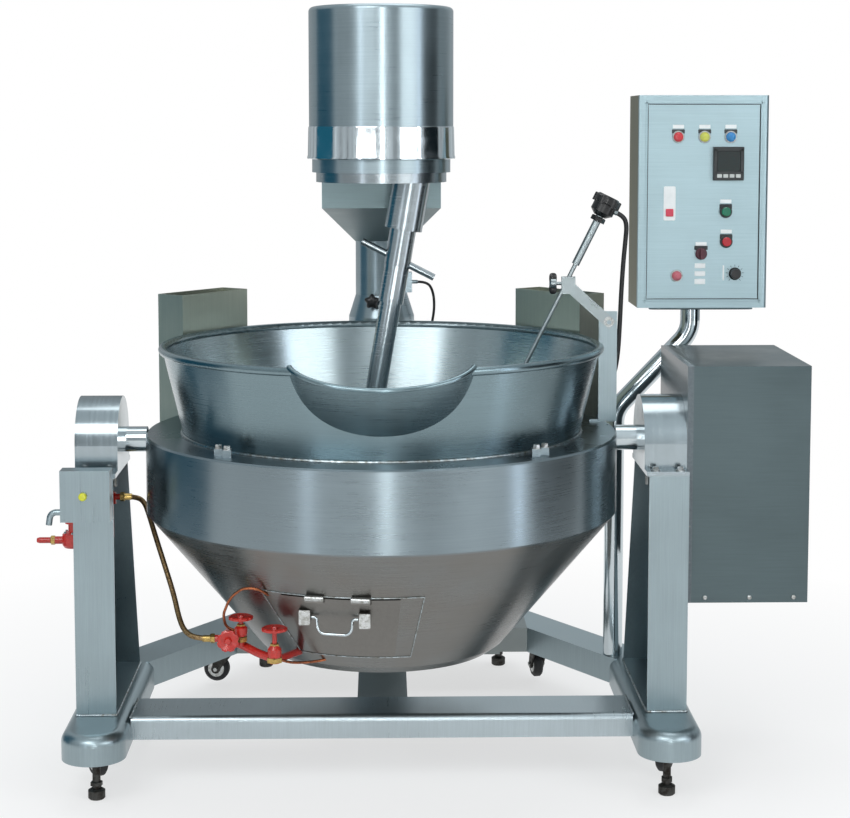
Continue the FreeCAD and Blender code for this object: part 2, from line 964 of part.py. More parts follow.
def burner():
    ring = doc.addObject("Part::Torus", "burner_torus")
    bind(ring, "Radius1", D.burner_radius)
    bind(ring, "Radius2", D.burner_tube)
    place(ring, 0, 0, D.burner_height)
    spokes = []
    for number, towards in enumerate(("front", "rear", "left", "right")):
        spokes.append(rod("burner_spoke_%d" % number, 8, D.burner_radius, 0, 0, D.burner_height, towards))
    legs = []
    foot = D.jacket_bottom + D.jacket_skin
    for across, along in ((1, 0), (-1, 0), (0, 1), (0, -1)):
        x, y = D.burner_radius * across, D.burner_radius * along
        legs.append(rod("burner_leg_%d" % len(legs), 6, D.burner_height - foot, x, y, foot))
    piece(fuse("burner_whole", [ring] + spokes + legs), "burner_ring")


def hatch():
    """A conical plate lapped over the window, with hinge barrels and two handle blocks."""
    lap = D.hatch_lap
    gap = 0.5
    thick = D.hatch_plate * 1.3
    low, high = D.hatch_low - lap, D.hatch_high + lap
    plate = turned(
        "hatch_skin",
        [
            (cone_radius(low) + gap, low),
            (cone_radius(low) + gap + thick, low),
            (cone_radius(high) + gap + thick, high),
            (cone_radius(high) + gap, high),
        ],
    )
    door = common("hatch_plate", plate, sector("hatch_slice", low, high, 1.0))
    middle = math.radians(D.hatch_start.value + D.hatch_sweep.value / 2)
    out_x, out_y = math.cos(middle), math.sin(middle)
    reach = cone_radius(high) + 8.5
    barrels = []
    leaves = []
    for shift in (-70.0, 30.0):
        barrel = doc.addObject("Part::Cylinder", "hatch_barrel_%d" % len(barrels))
        bind(barrel, "Radius", size(6.0))
        bind(barrel, "Height", size(40.0))
        place(barrel, reach * out_x - shift * out_y, reach * out_y + shift * out_x, high + 1)
        barrel.Placement.Rotation = FreeCAD.Rotation(
            FreeCAD.Vector(0, 0, 1), FreeCAD.Vector(-out_y, out_x, 0)
        )
        barrels.append(barrel)
        leaf = doc.addObject("Part::Box", "hatch_leaf_%d" % len(barrels))
        bind(leaf, "Length", size(20.0))
        bind(leaf, "Width", size(40.0))
        bind(leaf, "Height", size(14.0))
        inward = reach - 18
        place(leaf, inward * out_x - shift * out_y, inward * out_y + shift * out_x, high - 8)
        leaf.Placement.Rotation = turn(0, 0, 1, math.degrees(middle))
        leaves.append(leaf)
    blocks = []
    grip = (D.hatch_low + D.hatch_high) / 2 + 28

    def in_front(x, off):
        """How far forward the cone reaches at the handle's height, with a stand-off added."""
        return -(math.sqrt(cone_radius(grip).value ** 2 - x * x) + off)

    for x in (-165.0, -37.0):
        seat = in_front(x, 0)
        blocks.append(
            block("hatch_block_%d" % len(blocks), x - 12, x + 12, seat - 26, seat + 3, grip - 16, grip + 16)
        )
    core = turned(
        "hatch_core",
        [
            (0, low - 30),
            (cone_radius(low - 30) + gap, low - 30),
            (cone_radius(high + 30) + gap, high + 30),
            (0, high + 30),
        ],
    )
    seated = cut("hatch_fittings", fuse("hatch_fitting_solids", barrels + leaves + blocks), core)
    piece(fuse("hatch_whole", [door, seated]), "hatch_door")

    loop = [
        (-151.5, in_front(-151.5, 12.420), grip),
        (-139.4, in_front(-139.4, 10.892), grip),
        (-136.0, in_front(-136.0, 13.949), grip - 34),
        (-66.0, in_front(-66.0, 14.593), grip - 34),
        (-62.6, in_front(-62.6, 11.344), grip),
        (-50.5, in_front(-50.5, 12.811), grip),
    ]
    piece(bent_tube("hatch_wire", loop, 3.0), "hatch_handle")


# tilt drive
def tilt_drive():
    """Worm gearbox and motor on a plate beside the right post, under one cover."""
    outer = D.post_inner + D.post_width
    face = outer + D.drive_plate
    plate = block("drive_plate", outer, face, D.drive_front, D.drive_rear, D.drive_low, D.drive_top)
    worm_low, worm_top = D.trunnion_height - 88, D.trunnion_height + 90
    box = block("worm_box", face, outer + 150, -70, 70, worm_low, worm_top)
    motor_low = D.drive_low + 50
    motor = rod("tilt_motor", 58, worm_low + 2 - motor_low, outer + 85, 0, motor_low)
    bore = rod(
        "drive_bore", D.trunnion_radius + D.running_clearance, 170, outer, 0, D.trunnion_height, "right"
    )
    piece(cut("drive_whole", fuse("drive_solid", [plate, box, motor]), bore), "tilt_drive")

    wall = D.cover_wall
    shell = block(
        "cover_outer", face, D.drive_outer, D.drive_front, D.drive_rear, D.drive_low, D.drive_top
    )
    room = block(
        "cover_room",
        face,
        D.drive_outer - wall,
        D.drive_front + wall,
        D.drive_rear - wall,
        D.drive_low + wall,
        D.drive_top - wall,
    )
    piece(cut("cover_whole", shell, room), "drive_cover")


# control panel
def panel():
    """Box on a bent pipe; its door turns on its own half-round right edge and carries the controls."""
    x0, x1 = D.panel_left, D.panel_left + D.panel_width
    low, high = D.panel_low, D.panel_high
    front = D.panel_front
    back = front + D.panel_depth
    inside = front + D.door_thickness + D.body_clearance
    wall = D.panel_wall
    shell = block("panel_outer", x0, x1, inside, back, low, high)
    room = block("panel_room", x0 + wall, x1 - wall, inside, back - wall, low + wall, high - wall)
    piece(cut("panel_whole", shell, room), "panel_box")

    tray = block("tray_plate", x0 + 25, x1 - 25, back - 10, back - wall, low + 30, high - 30)
    parts = [tray]
    for number, (x, z, wide, tall) in enumerate(
        ((60, 330, 45, 80), (112, 330, 45, 80), (164, 330, 70, 95), (60, 200, 170, 22), (70, 80, 90, 70))
    ):
        left, foot = x0 + x, low + z
        parts.append(
            block("tray_part_%d" % number, left, left + wide, back - 65, back - 10, foot, foot + tall)
        )
    piece(fuse("tray_whole", parts), "electrical_tray")

    edge = D.door_thickness / 2
    door = slab(
        "panel_door_plate",
        "XY_Plane",
        [
            (x0, front),
            (x1 - edge, Free(front)),
            (x1 - edge, Free(front + D.door_thickness)),
            (x0, front + D.door_thickness),
        ],
        low,
        high - low,
        {1: (x1 - edge, front + edge, edge)},
    )
    inset = 18.0
    left, right = x0 + inset, x1 - inset
    frame = outline(
        door,
        "door_inset",
        "XZ_Plane",
        [(left, low + inset), (right, low + inset), (right, high - inset), (left, high - inset)],
        offset=-front,
    )
    pocket(door, "door_dish", frame, size(3.0))
    start, stop = (x0 + 210, low + 231), (x0 + 212, low + 159)
    selector, speed = (x0 + 152, low + 130), (x0 + 234, low + 82)
    button, spindle = 11.0, 4.0
    holes = []
    for number, ((x, z), radius) in enumerate(
        ((start, button), (stop, button), (selector, spindle), (speed, spindle))
    ):
        holes.append(
            rod("door_hole_%d" % number, radius + D.running_clearance, 30, x, front - 5, z, "rear")
        )
    piece(cut("door_whole", door, fuse("door_holes", holes)), "panel_door")

    dish = front + 3
    lamps = []
    for x, z in ((94.0, 409.0), (157.0, 409.0), (219.5, 409.0), (94.0, 77.0)):
        profile = [(0, 0), (14.5, 0), (14.5, 3), (11.5, 3), (11.5, 10), (9, 13), (0, 14)]
        lamps.append(turned("lamp_%d" % len(lamps), profile, x0 + x, dish, low + z, "front"))
    piece(fuse("lamps_whole", lamps), "panel_lamps")
    unit = block("controller_body", x0 + 177.6, x0 + 250.8, dish - 8, dish, low + 305.5, low + 385.5)
    piece(unit, "temperature_controller")

    for label, (x, z) in (("start_button", start), ("stop_button", stop)):
        profile = [(0, -18), (button, -18), (button, 11), (button - 1.5, 12.5), (0, 12.5)]
        piece(turned(label + "_cap", profile, x, dish, z, "front"), label)
    lift = D.body_clearance
    x, z = selector
    profile = [(0, -14), (spindle, -14), (spindle, lift), (14, lift), (14, 6), (12, 8), (0, 8)]
    switch = turned("selector_cap", profile, x, dish, z, "front")
    wing = block("selector_wing", x - 4, x + 4, dish - 20, dish - 7, z - 12, z + 12)
    piece(fuse("selector_whole", [switch, wing]), "selector_switch")
    x, z = speed
    profile = [
        (0, -14), (spindle, -14), (spindle, lift), (15, lift), (15, 4), (12.5, 6), (11.5, 18), (0, 18)
    ]
    piece(turned("speed_cap", profile, x, dish, z, "front"), "speed_knob")

    pipe = [
        (D.pipe_foot_x, D.pipe_y, D.rail_top),
        (D.pipe_foot_x, D.pipe_y, low - 269),
        (D.pipe_head_x, D.pipe_y, low - 74),
        (D.pipe_head_x, D.pipe_y, low),
    ]
    piece(bent_tube("stand_pipe_tube", pipe, D.pipe_radius, D.pipe_bend.value), "stand_pipe")


def ignition():
    """The lighter's box on the left post, its push button and the bent end of its cable's conduit."""
    front, top = D.post_front, D.post_top
    outer = D.post_inner + D.post_width
    face = front - 45
    box = block("lighter_box", -(outer + 21), -(D.post_inner + 1), face, front, top - 90, top + 25)
    conduit = bent_tube(
        "lighter_conduit",
        [
            (-(outer + 15), front - 20, top - 72),
            (-(outer + 46), front - 20, top - 72),
            (-(outer + 50), front - 20, top - 100),
        ],
        7.0,
    )
    x, z = -(D.post_inner + 60), top - 32
    cap = 9.0
    hole = rod("lighter_hole", cap + D.running_clearance, 30, x, face - 5, z, "rear")
    piece(cut("lighter_bored", fuse("lighter_whole", [box, conduit]), hole), "ignition_box")
    profile = [(0, -18), (cap, -18), (cap, 7), (cap - 2, 10), (0, 11)]
    piece(turned("lighter_cap", profile, x, face, z, "front"), "ignition_button")


def gas_supply():
    """Pressure regulator outside the left post; its pipe passes the wall and rises to the hose valve."""
    outer = D.post_inner + D.post_width
    body_radius = 27.0
    x, y, z = -(outer + body_radius + D.body_clearance), D.gas_y, D.gas_height
    riser_x = D.gas_riser_x
    valve_low = D.hose_exit_height - 16
    parts = [
        turned(
            "regulator_dome",
            [
                (0, -22),
                (body_radius - 4, -22),
                (body_radius, -16),
                (body_radius, 8),
                (body_radius - 4, 12),
                (13, 16),
                (13, 34),
                (0, 34),
            ],
            x,
            y,
            z,
        ),
        turned(
            "regulator_nozzle",
            [(0, 0), (9, 0), (9, 22), (7, 22), (7, 56), (5, 62), (0, 62)],
            x - 24,
            y,
            z - 6,
            "left",
        ),
        rod("supply_feed", D.gas_pipe_radius, riser_x - x, x, y, z, "right"),
        rod("supply_riser", D.gas_pipe_radius, valve_low + 2 - z, riser_x, y, z),
        turned("supply_valve", [(0, 0), (14, 0), (14, 26), (9, 30), (0, 30)], riser_x, y, valve_low),
        rod("supply_nozzle", 7, 24, riser_x + 6, y, D.hose_exit_height, "right"),
    ]
    piece(fuse("regulator_whole", parts), "gas_regulator")
    piece(
        turned("regulator_cap", [(0, 0.3), (20, 0.3), (20, 16), (17, 20), (0, 20)], x, y, z + 34),
        "regulator_knob",
    )


# mast, arm and head
def mast():
    x_pin = 29.0
    hinge = (D.hinge_y, D.mast_split)
    post = turned(
        "mast_turned",
        [
            (0, D.rail_top),
            (D.mast_foot_radius, D.rail_top),
            (D.mast_foot_radius, D.mast_split - 57),
            (D.mast_radius, D.mast_split),
            (0, D.mast_split),
        ],
        0,
        D.mast_y,
        0,
    )
    ears = []
    for side in (1, -1):
        low, high = x_pin + D.body_clearance, size(46.0)
        x0, x1 = (low, high) if side > 0 else (-high, -low)
        ears.append(rod("ear_%d" % side, D.hinge_ear - 4, x1 - x0, x0, hinge[0], hinge[1], "right"))
        ears.append(
            block("ear_web_%d" % side, x0, x1, D.mast_y + 40, D.hinge_y, D.mast_split - 45, D.mast_split - 4)
        )
    solid = fuse("mast_solid", [post] + ears)
    pin = rod("hinge_pin_rod", D.hinge_pin, 96, -48, hinge[0], hinge[1], "right")
    piece(fuse("mast_whole", [solid, pin]), "lower_mast")

    lift = D.mast_split + D.body_clearance
    column = rod("column_tube", D.mast_radius, D.funnel_low - lift, 0, D.mast_y, lift)
    knuckle = rod("column_knuckle", D.hinge_ear - 4, x_pin * 2, -x_pin, hinge[0], hinge[1], "right")
    web = block("column_web", -x_pin, x_pin, D.mast_y, D.hinge_y, lift, D.mast_split + 19)
    pin_hole = rod(
        "column_pin_hole", D.hinge_pin + D.running_clearance, 80, -40, hinge[0], hinge[1], "right"
    )
    funnel = doc.addObject("Part::Wedge", "arm_funnel")
    bind(funnel, "Xmin", size(0))
    bind(funnel, "Xmax", D.arm_half_width * 2)
    bind(funnel, "X2min", D.arm_half_width - D.mast_radius)
    bind(funnel, "X2max", D.arm_half_width + D.mast_radius)
    bind(funnel, "Zmin", size(0))
    bind(funnel, "Zmax", D.arm_rear - D.arm_front)
    bind(funnel, "Z2min", D.mast_y - D.mast_radius - D.arm_front)
    bind(funnel, "Z2max", D.mast_y + D.mast_radius - D.arm_front)
    bind(funnel, "Ymin", size(0))
    bind(funnel, "Ymax", D.arm_low - D.funnel_low)
    place(funnel, -D.arm_half_width, D.arm_front, D.arm_low, turn(1, 0, 0, -90))
    gland = block("column_gland", 58, 80, D.mast_y - 25, D.mast_y + 20, D.mast_split + 6, D.mast_split + 58)
    guide = rod("column_guide", 5, 40, 55, D.mast_y - 12, D.mast_split + 33, "right")
    whole = fuse("column_solid", [column, knuckle, web, gland, guide])
    piece(cut("column_whole", whole, pin_hole), "upper_column")

    beam = block(
        "arm_beam", -D.arm_half_width, D.arm_half_width, D.arm_front, D.arm_rear, D.arm_low, D.arm_high
    )
    neck = block("arm_neck", -110, 110, 60, D.arm_front, D.band_low + 5, D.arm_high)
    drum = rod("arm_drum_room", D.head_radius, 300, 0, 0, D.carrier_low)
    arm = fuse("arm_solid", [beam, cut("neck_fitted", neck, drum), funnel])
    piece(arm, "head_arm")

    knob = turned(
        "mast_knob_cap",
        [(0, 0), (6, 0), (6, 9), (15, 9), (18, 13), (18, 22), (14, 26), (0, 26)],
        -25,
        D.mast_y - 71.6,
        D.mast_split - 12,
        "front",
    )
    piece(knob, "mast_lock_knob")

    housing = turned(
        "head_turned",
        [
            (0, D.ring_low),
            (D.ring_radius, D.ring_low),
            (D.ring_radius, D.band_low),
            (D.head_radius, D.band_low),
            (Free(D.head_radius), D.head_top - 10),
            (D.head_radius - 10, Free(D.head_top)),
            (0, D.head_top),
        ],
        arcs={4: (D.head_radius - 10, D.head_top - 10, size(10.0))},
    )
    piece(housing, "head_housing")


def oblique(thing):
    """Lean a piece about the dish centre so that its axis is the stirrer's own axis."""
    place(thing, 0, 0, D.dish_centre_height, turn(0, 1, 0, D.shaft_tilt.value))
    bind(thing, "Placement.Rotation.Angle", D.shaft_tilt)
    return thing


def oblique_rod(label, radius, low, high):
    return oblique(turned(label, [(0, low), (radius, low), (radius, high), (0, high)]))


def carrier():
    disc = rod(
        "carrier_disc",
        D.carrier_radius,
        D.ring_low - D.body_clearance - D.carrier_low,
        0,
        0,
        D.carrier_low,
    )
    sleeve = oblique_rod("carrier_sleeve", D.sleeve_radius, D.sleeve_low, D.spindle_high + 24)
    bore = oblique_rod(
        "carrier_bore", D.spindle_radius + D.running_clearance, D.sleeve_low - 5, D.spindle_high + 1
    )
    piece(cut("carrier_whole", fuse("carrier_solid", [disc, sleeve]), bore), "planet_carrier")


def ring_sector(label, inner, outer, start, end, low, thick):
    """A flat piece of a ring about the dish centre, start and end in degrees off the stirrer's axis."""
    points = []
    for radius, angle in ((outer, start), (outer, end), (inner, end), (inner, start)):
        a = math.radians(size(angle).value)
        points.append((radius * math.sin(a), Free(-size(radius).value * math.cos(a))))
    return oblique(
        slab(label, "XZ_Plane", points, low, thick, {0: (0, 0, outer), 2: (0, 0, -size(inner))})
    )


def stirrer():
    """Drive spindle, slotted collar, shaft and a bow whose curve is centred on the pot's dish."""
    spindle = turned(
        "stirrer_spindle",
        [
            (0, D.shaft_low),
            (D.shaft_radius, D.shaft_low),
            (D.shaft_radius, D.collar_low),
            (D.collar_radius, D.collar_low),
            (D.collar_radius, D.spindle_low),
            (D.spindle_radius, D.spindle_low),
            (D.spindle_radius, D.spindle_high),
            (0, D.spindle_high),
        ],
    )
    oblique(spindle)
    slots = []
    for number in range(2):
        slot = slab(
            "collar_slot_%d" % number,
            "XZ_Plane",
            [(-3.5, D.collar_low + 8), (3.5, D.collar_low + 8), (3.5, D.spindle_low), (-3.5, D.spindle_low)],
            22.0 if number else -40.0,
            18.0,
        )
        slots.append(oblique(slot))
    bar_height = 224.0
    lean = turn(0, 1, 0, D.shaft_tilt.value + 90 + 17.3)
    tilt = math.radians(D.shaft_tilt.value)
    away = math.radians(D.shaft_tilt.value + 90 + 17.3)
    bar_x = bar_height * math.sin(tilt) - 92 * math.sin(away)
    bar_z = D.dish_centre_height + bar_height * math.cos(tilt) - 92 * math.cos(away)
    bar = doc.addObject("Part::Cylinder", "bar_rod")
    bind(bar, "Radius", size(8.0))
    bind(bar, "Height", size(184.0))
    place(bar, bar_x, 0, bar_z, lean)
    hole = doc.addObject("Part::Cylinder", "bar_hole")
    bind(hole, "Radius", size(8.0))
    bind(hole, "Height", size(184.0))
    place(hole, bar_x, 0, bar_z, lean)
    solid = cut("spindle_slotted", spindle, fuse("collar_slots", slots))
    piece(cut("spindle_whole", solid, hole), "stirrer_shaft")
    piece(bar, "locking_bar")

    half = D.bow_half_angle
    thick = D.bow_thickness
    inner = D.bow_radius - D.bow_depth
    bow = ring_sector("tool_bow", inner, D.bow_radius, -half, half, -thick / 2, thick)
    parts = [bow]
    a = math.radians(half.value)
    b = math.radians(half.value - 4)
    for side in (1, -1):
        corners = [
            (D.bow_radius * (side * math.sin(a)), -D.bow_radius * math.cos(a)),
            (side * 20.0, D.shaft_low + 20),
            (side * 20.0, D.shaft_low - 26),
            (inner * (side * math.sin(b)), -inner * math.cos(b)),
        ]
        parts.append(oblique(slab("tool_arm_%d" % side, "XZ_Plane", corners, -thick / 2, thick)))
    hub = oblique_rod("tool_hub", 34, D.shaft_low - 26, D.shaft_low + 40)
    stem = oblique_rod("tool_stem", 13, -(inner + 6), D.shaft_low - 10)
    room = oblique_rod("tool_room", D.shaft_radius, D.shaft_low, D.shaft_low + 60)
    piece(cut("tool_whole", fuse("tool_solid", parts + [hub, stem]), room), "stirrer_bow")

    low = D.scraper_reach - D.scraper_depth
    blades = []
    blades.append(
        ring_sector("scraper_near", low, D.scraper_reach, 2.0, half, thick / 2, D.scraper_thickness)
    )
    blades.append(
        ring_sector(
            "scraper_far", low, D.scraper_reach, -half, -2.0, -thick / 2 - D.scraper_thickness,
            D.scraper_thickness,
        )
    )
    piece(fuse("scrapers_whole", blades), "scraper_blades")


# gas train on the kettle: each handwheel's place from the main valve, its radius and the way it faces
WHEELS = [
    ("main_gas_wheel", (0, -48, 6), 24.0, "front"),
    ("pilot_gas_wheel", (26, -30, 43), 27.0, "up"),
    ("burner_gas_wheel", (101, -75, 29), 28.0, "up"),
]


def near_valve(x, y, z):
    """A point measured from the train's main valve, which stands off the jacket's cone."""
    reach = cone_radius(D.train_height) + D.train_standoff
    bearing = math.radians(D.train_bearing.value)
    return reach * math.cos(bearing) + x, reach * math.sin(bearing) + y, D.train_height + z


def gas_train():
    """Main valve, pilot valve and burner valve in a row, with their pipes into the cone."""
    solid = [
        rod("train_inlet", 8, 44, *near_valve(-39, 0, -3), "right"),
        turned(
            "train_valve",
            [(0, -20), (13, -20), (17, -12), (17, 12), (13, 20), (0, 20)],
            *near_valve(0, 0, 0),
            "front",
        ),
        rod("train_main_stem", 5, 30, *near_valve(0, -18, 6), "front"),
        rod("train_riser", 8, 34, *near_valve(26, -30, -11)),
        turned(
            "train_pilot_body",
            [(0, 0), (12, 0), (14, 6), (14, 18), (7, 24), (0, 24)],
            *near_valve(26, -30, 11),
        ),
        turned(
            "train_burner_body",
            [(0, 0), (12, 0), (15, 8), (15, 30), (7, 42), (0, 42)],
            *near_valve(101, -75, -37),
        ),
        rod("train_burner_stem", 5, 26, *near_valve(101, -75, 3)),
        rod("train_pilot_stem", 5, 12, *near_valve(26, -30, 31)),
        bent_tube(
            "train_pipe",
            [
                near_valve(0, 0, -7),
                near_valve(26, -15, -13),
                near_valve(70, -52, -25),
                near_valve(101, -75, -28),
            ],
            9.0,
        ),
        bent_tube(
            "train_link",
            [near_valve(101, -75, -28), near_valve(118, -40, -35), near_valve(152, 30, -40)],
            8.0,
        ),
    ]
    union = fuse("train_union", solid)
    cone_low = D.cone_bottom - 10
    cone = turned(
        "train_cone",
        [
            (0, cone_low),
            (cone_radius(cone_low), cone_low),
            (cone_radius(D.band_bottom), D.band_bottom),
            (0, D.band_bottom),
        ],
    )
    piece(cut("train_whole", union, cone), "gas_manifold")
    for label, place_of, radius, towards in WHEELS:
        x, y, z = near_valve(*place_of)
        rim = turned(
            label + "_disc",
            [
                (0, 0.4),
                (8, 0.4),
                (8, 3),
                (radius - 5, 4),
                (radius, 5.5),
                (radius, 10),
                (radius - 4, 12),
                (8, 9),
                (6, 14),
                (0, 14),
            ],
            x,
            y,
            z,
            towards,
        )
        notches = []
        for number in range(8):
            a = math.radians(45 * number)
            reach = radius + 3.5
            across, along = reach * math.cos(a), reach * math.sin(a)
            spot = (x + across, y + along, z - 2) if towards == "up" else (x + across, y + 2, z + along)
            notches.append(rod(label + "_notch_%d" % number, 6, 20, *spot, towards))
        piece(cut(label + "_whole", rim, fuse(label + "_notches", notches)), label)

    tubes = [
        bent_tube(
            "pilot_tube_high",
            [
                near_valve(16, -30, 21),
                near_valve(-6, -33, 31),
                near_valve(-11, -46, 61),
                near_valve(7, -78, 107),
                near_valve(37, -108, 135),
                near_valve(68, -115, 135),
                near_valve(89, -89, 115),
            ],
            3.0,
        ),
        bent_tube(
            "pilot_tube_low",
            [
                near_valve(109, -66, -32),
                near_valve(135, -37, -48),
                near_valve(166, -10, -55),
                near_valve(198, 0, -54),
                near_valve(222, 12, -50),
            ],
            3.0,
        ),
    ]
    trimmed = cut("tubes_trimmed", fuse("tubes_union", tubes), cone)
    piece(cut("tubes_whole", trimmed, union), "pilot_tubes")


def hose():
    """Gas hose from the riser's valve down to the train's inlet."""
    start = (D.gas_riser_x + 30, D.gas_y, D.hose_exit_height)
    end = near_valve(-39, 0, -3)
    sag = [
        (4.9, 31.0, 25.4),
        (3.8, 46.0, 43.8),
        (-4.3, 43.0, 46.2),
        (-7.4, 26.0, 30.6),
        (-3.5, 3.0, -1.0),
        (-0.6, -19.0, -31.6),
        (-9.7, -31.0, -43.2),
        (-16.8, -38.0, -40.8),
        (-12.9, -31.0, -25.4),
    ]
    points = [start]
    for number, shift in enumerate(sag, start=1):
        share = number / (len(sag) + 1)
        points.append([a + (b - a) * share + off for a, b, off in zip(start, end, shift)])
    points.append(end)
    piece(bent_tube("gas_hose_tube", points, 6.0), "gas_hose")


def probe():
    """Temperature probe: upright bracket on the ledge, link, clamp and a leaning rod in the pot."""
    y, ledge = D.probe_y, D.ledge_height
    pivot_x, pivot_z = D.jacket_radius - 6.5, ledge + 237
    bracket = block("probe_post", pivot_x - 22, pivot_x + 21, y - 3, y + 3, ledge, pivot_z + 24)
    foot = block("probe_foot", pivot_x - 42, pivot_x - 2, y - 3, y + 12, ledge, ledge + 5)
    pin = rod("probe_pin", 5, 18, pivot_x, y - 3, pivot_z, "front")
    piece(fuse("probe_bracket_whole", [bracket, foot, pin]), "probe_bracket")

    link_y = y - 3 - D.body_clearance
    link = doc.addObject("Part::Box", "probe_link")
    bind(link, "Length", size(130.0))
    bind(link, "Width", size(6.0))
    bind(link, "Height", size(26.0))
    link_angle = 138.0
    tilt = math.radians(link_angle)
    place(
        link,
        pivot_x - 14 * math.cos(tilt) + 13 * math.sin(tilt),
        link_y - 6,
        pivot_z - 14 * math.sin(tilt) - 13 * math.cos(tilt),
    )
    link.Placement.Rotation = turn(0, 1, 0, -link_angle)
    hole = rod("probe_link_hole", 5 + D.running_clearance, 40, pivot_x, y, pivot_z, "front")
    clamp = block(
        "probe_clamp", pivot_x - 112, pivot_x - 80, link_y - 22, link_y - 6, pivot_z + 67, pivot_z + 107
    )
    rod_y = link_y - 14
    knob = turned(
        "probe_wing",
        [(0, 0), (4, 0), (4, 12), (12, 14), (12, 26), (9, 29), (0, 29)],
        pivot_x - 111,
        rod_y,
        pivot_z + 91,
        "left",
    )
    a = math.atan2(358.0, 177.0)
    lean = turn(0, 1, 0, 90 - math.degrees(a))
    top_x, top_z = pivot_x - 9, pivot_z + 279
    length = 430.0

    def leaning(label, corners, down):
        """A turned piece on the probe's axis, its zero a distance down from the head."""
        return turned(
            label, corners, top_x - down * math.cos(a), rod_y, top_z - down * math.sin(a), rotation=lean
        )

    stem = leaning(
        "probe_rod",
        [(0, 0), (D.probe_stem - 3, 0), (D.probe_stem, 5), (D.probe_stem, length), (0, length)],
        length,
    )
    sheath = leaning(
        "probe_sheath", [(0, 0), (D.probe_sheath, 0), (D.probe_sheath, 130), (0, 130)], 160
    )
    head = leaning(
        "probe_head",
        [(0, 0), (14, 0), (27, 10), (27, 30), (30, 32), (30, 44), (24, 50), (0, 50)],
        34,
    )
    gland = turned(
        "probe_gland",
        [(0, 20), (6.5, 20), (6.5, 34), (0, 34)],
        pivot_x - 13.4,
        rod_y,
        pivot_z + 270,
        rotation=turn(0, 1, 0, 180 - math.degrees(a)),
    )
    arm = fuse("probe_arm_solid", [link, clamp, knob, stem, sheath, head, gland])
    piece(cut("probe_arm_whole", arm, hole), "probe_arm")

    hang = [
        (17.1, -17.3, 254.9),
        (33.2, -17.3, 246.9),
        (40.0, -14.0, 225.0),
        (38.0, -7.0, 191.0),
        (34.0, 0.0, 135.0),
        (31.0, 6.0, 67.0),
        (29.0, 10.0, -3.0),
        (26.0, 13.0, -73.0),
        (19.0, 17.0, -123.0),
        (4.0, 21.0, -161.0),
        (-16.0, 24.0, -192.0),
        (-16.0, 24.0, -225.0),
    ]
    points = [(pivot_x + dx, y + dy, pivot_z + dz) for dx, dy, dz in hang]
    piece(bent_tube("probe_cable_tube", points, 3.0), "probe_cable")


def head_cable():
    """Motor lead that leaves the column beside the hinge and enters the fixed mast below it."""
    hang = [
        (95.0, -12.0, 33.0),
        (121.0, -12.0, 33.0),
        (136.0, -8.0, 8.0),
        (140.0, -4.0, -32.0),
        (134.0, 0.0, -77.0),
        (122.0, 1.0, -115.0),
        (87.0, 0.0, -117.0),
    ]
    points = [(x, D.mast_y + dy, D.mast_split + dz) for x, dy, dz in hang]
    piece(bent_tube("head_cable_tube", points, 3.5), "head_cable")


base_frame()
posts()
bearings()
feet()
casters()
pot()
jacket()
trunnions()
flues()
burner()
hatch()
tilt_drive()
panel()
ignition()
gas_supply()
mast()
carrier()
stirrer()
gas_train()
hose()
probe()
head_cable()
doc.recompute()

os.makedirs("parts", exist_ok=True)
faulty = [thing.Label for thing in doc.Objects if "Invalid" in thing.State or "Error" in thing.State]
if faulty:
    raise RuntimeError("these did not build: %s" % ", ".join(faulty))
faulty = [thing.Label for thing in PIECES if thing.Shape.isNull() or not thing.Shape.isValid()]
if faulty:
    raise RuntimeError("these have a faulty shape: %s" % ", ".join(faulty))
box = FreeCAD.BoundBox()
for thing in PIECES:
    box.add(thing.Shape.BoundBox)
    thing.Shape.exportStep("parts/%s.step" % thing.Label)
    print("%-24s solids %d volume %.0f" % (thing.Label, len(thing.Shape.Solids), thing.Shape.Volume))
print("pieces", len(PIECES), box)
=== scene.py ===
import json
import math

import bmesh
import bpy
import numpy as np
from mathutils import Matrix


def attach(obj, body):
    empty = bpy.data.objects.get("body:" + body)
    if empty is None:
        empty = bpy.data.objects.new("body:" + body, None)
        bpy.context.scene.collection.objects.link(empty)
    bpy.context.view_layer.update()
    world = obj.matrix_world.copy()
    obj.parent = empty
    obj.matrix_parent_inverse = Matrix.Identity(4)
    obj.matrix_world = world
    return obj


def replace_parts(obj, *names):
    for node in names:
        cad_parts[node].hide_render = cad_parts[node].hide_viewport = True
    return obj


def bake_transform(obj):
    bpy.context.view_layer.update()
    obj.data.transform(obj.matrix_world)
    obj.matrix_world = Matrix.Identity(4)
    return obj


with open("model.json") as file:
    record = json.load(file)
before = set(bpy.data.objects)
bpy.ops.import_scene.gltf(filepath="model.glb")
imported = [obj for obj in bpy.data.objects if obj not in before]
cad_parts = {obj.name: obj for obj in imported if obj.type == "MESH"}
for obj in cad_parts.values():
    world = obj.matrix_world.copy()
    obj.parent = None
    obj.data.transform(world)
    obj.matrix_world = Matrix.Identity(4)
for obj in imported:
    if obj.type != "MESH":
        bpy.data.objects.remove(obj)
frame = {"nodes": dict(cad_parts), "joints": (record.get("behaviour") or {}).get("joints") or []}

bl_info = {
    "name": "Tilting Cooking Mixer",
    "version": (1, 0, 0),
    "blender": (4, 5, 0),
    "location": "View3D > Sidebar > Cooking Mixer",
    "description": "Steel finishes, fittings, cords and a plain studio for a tilting gas cooking mixer",
    "category": "Object",
}

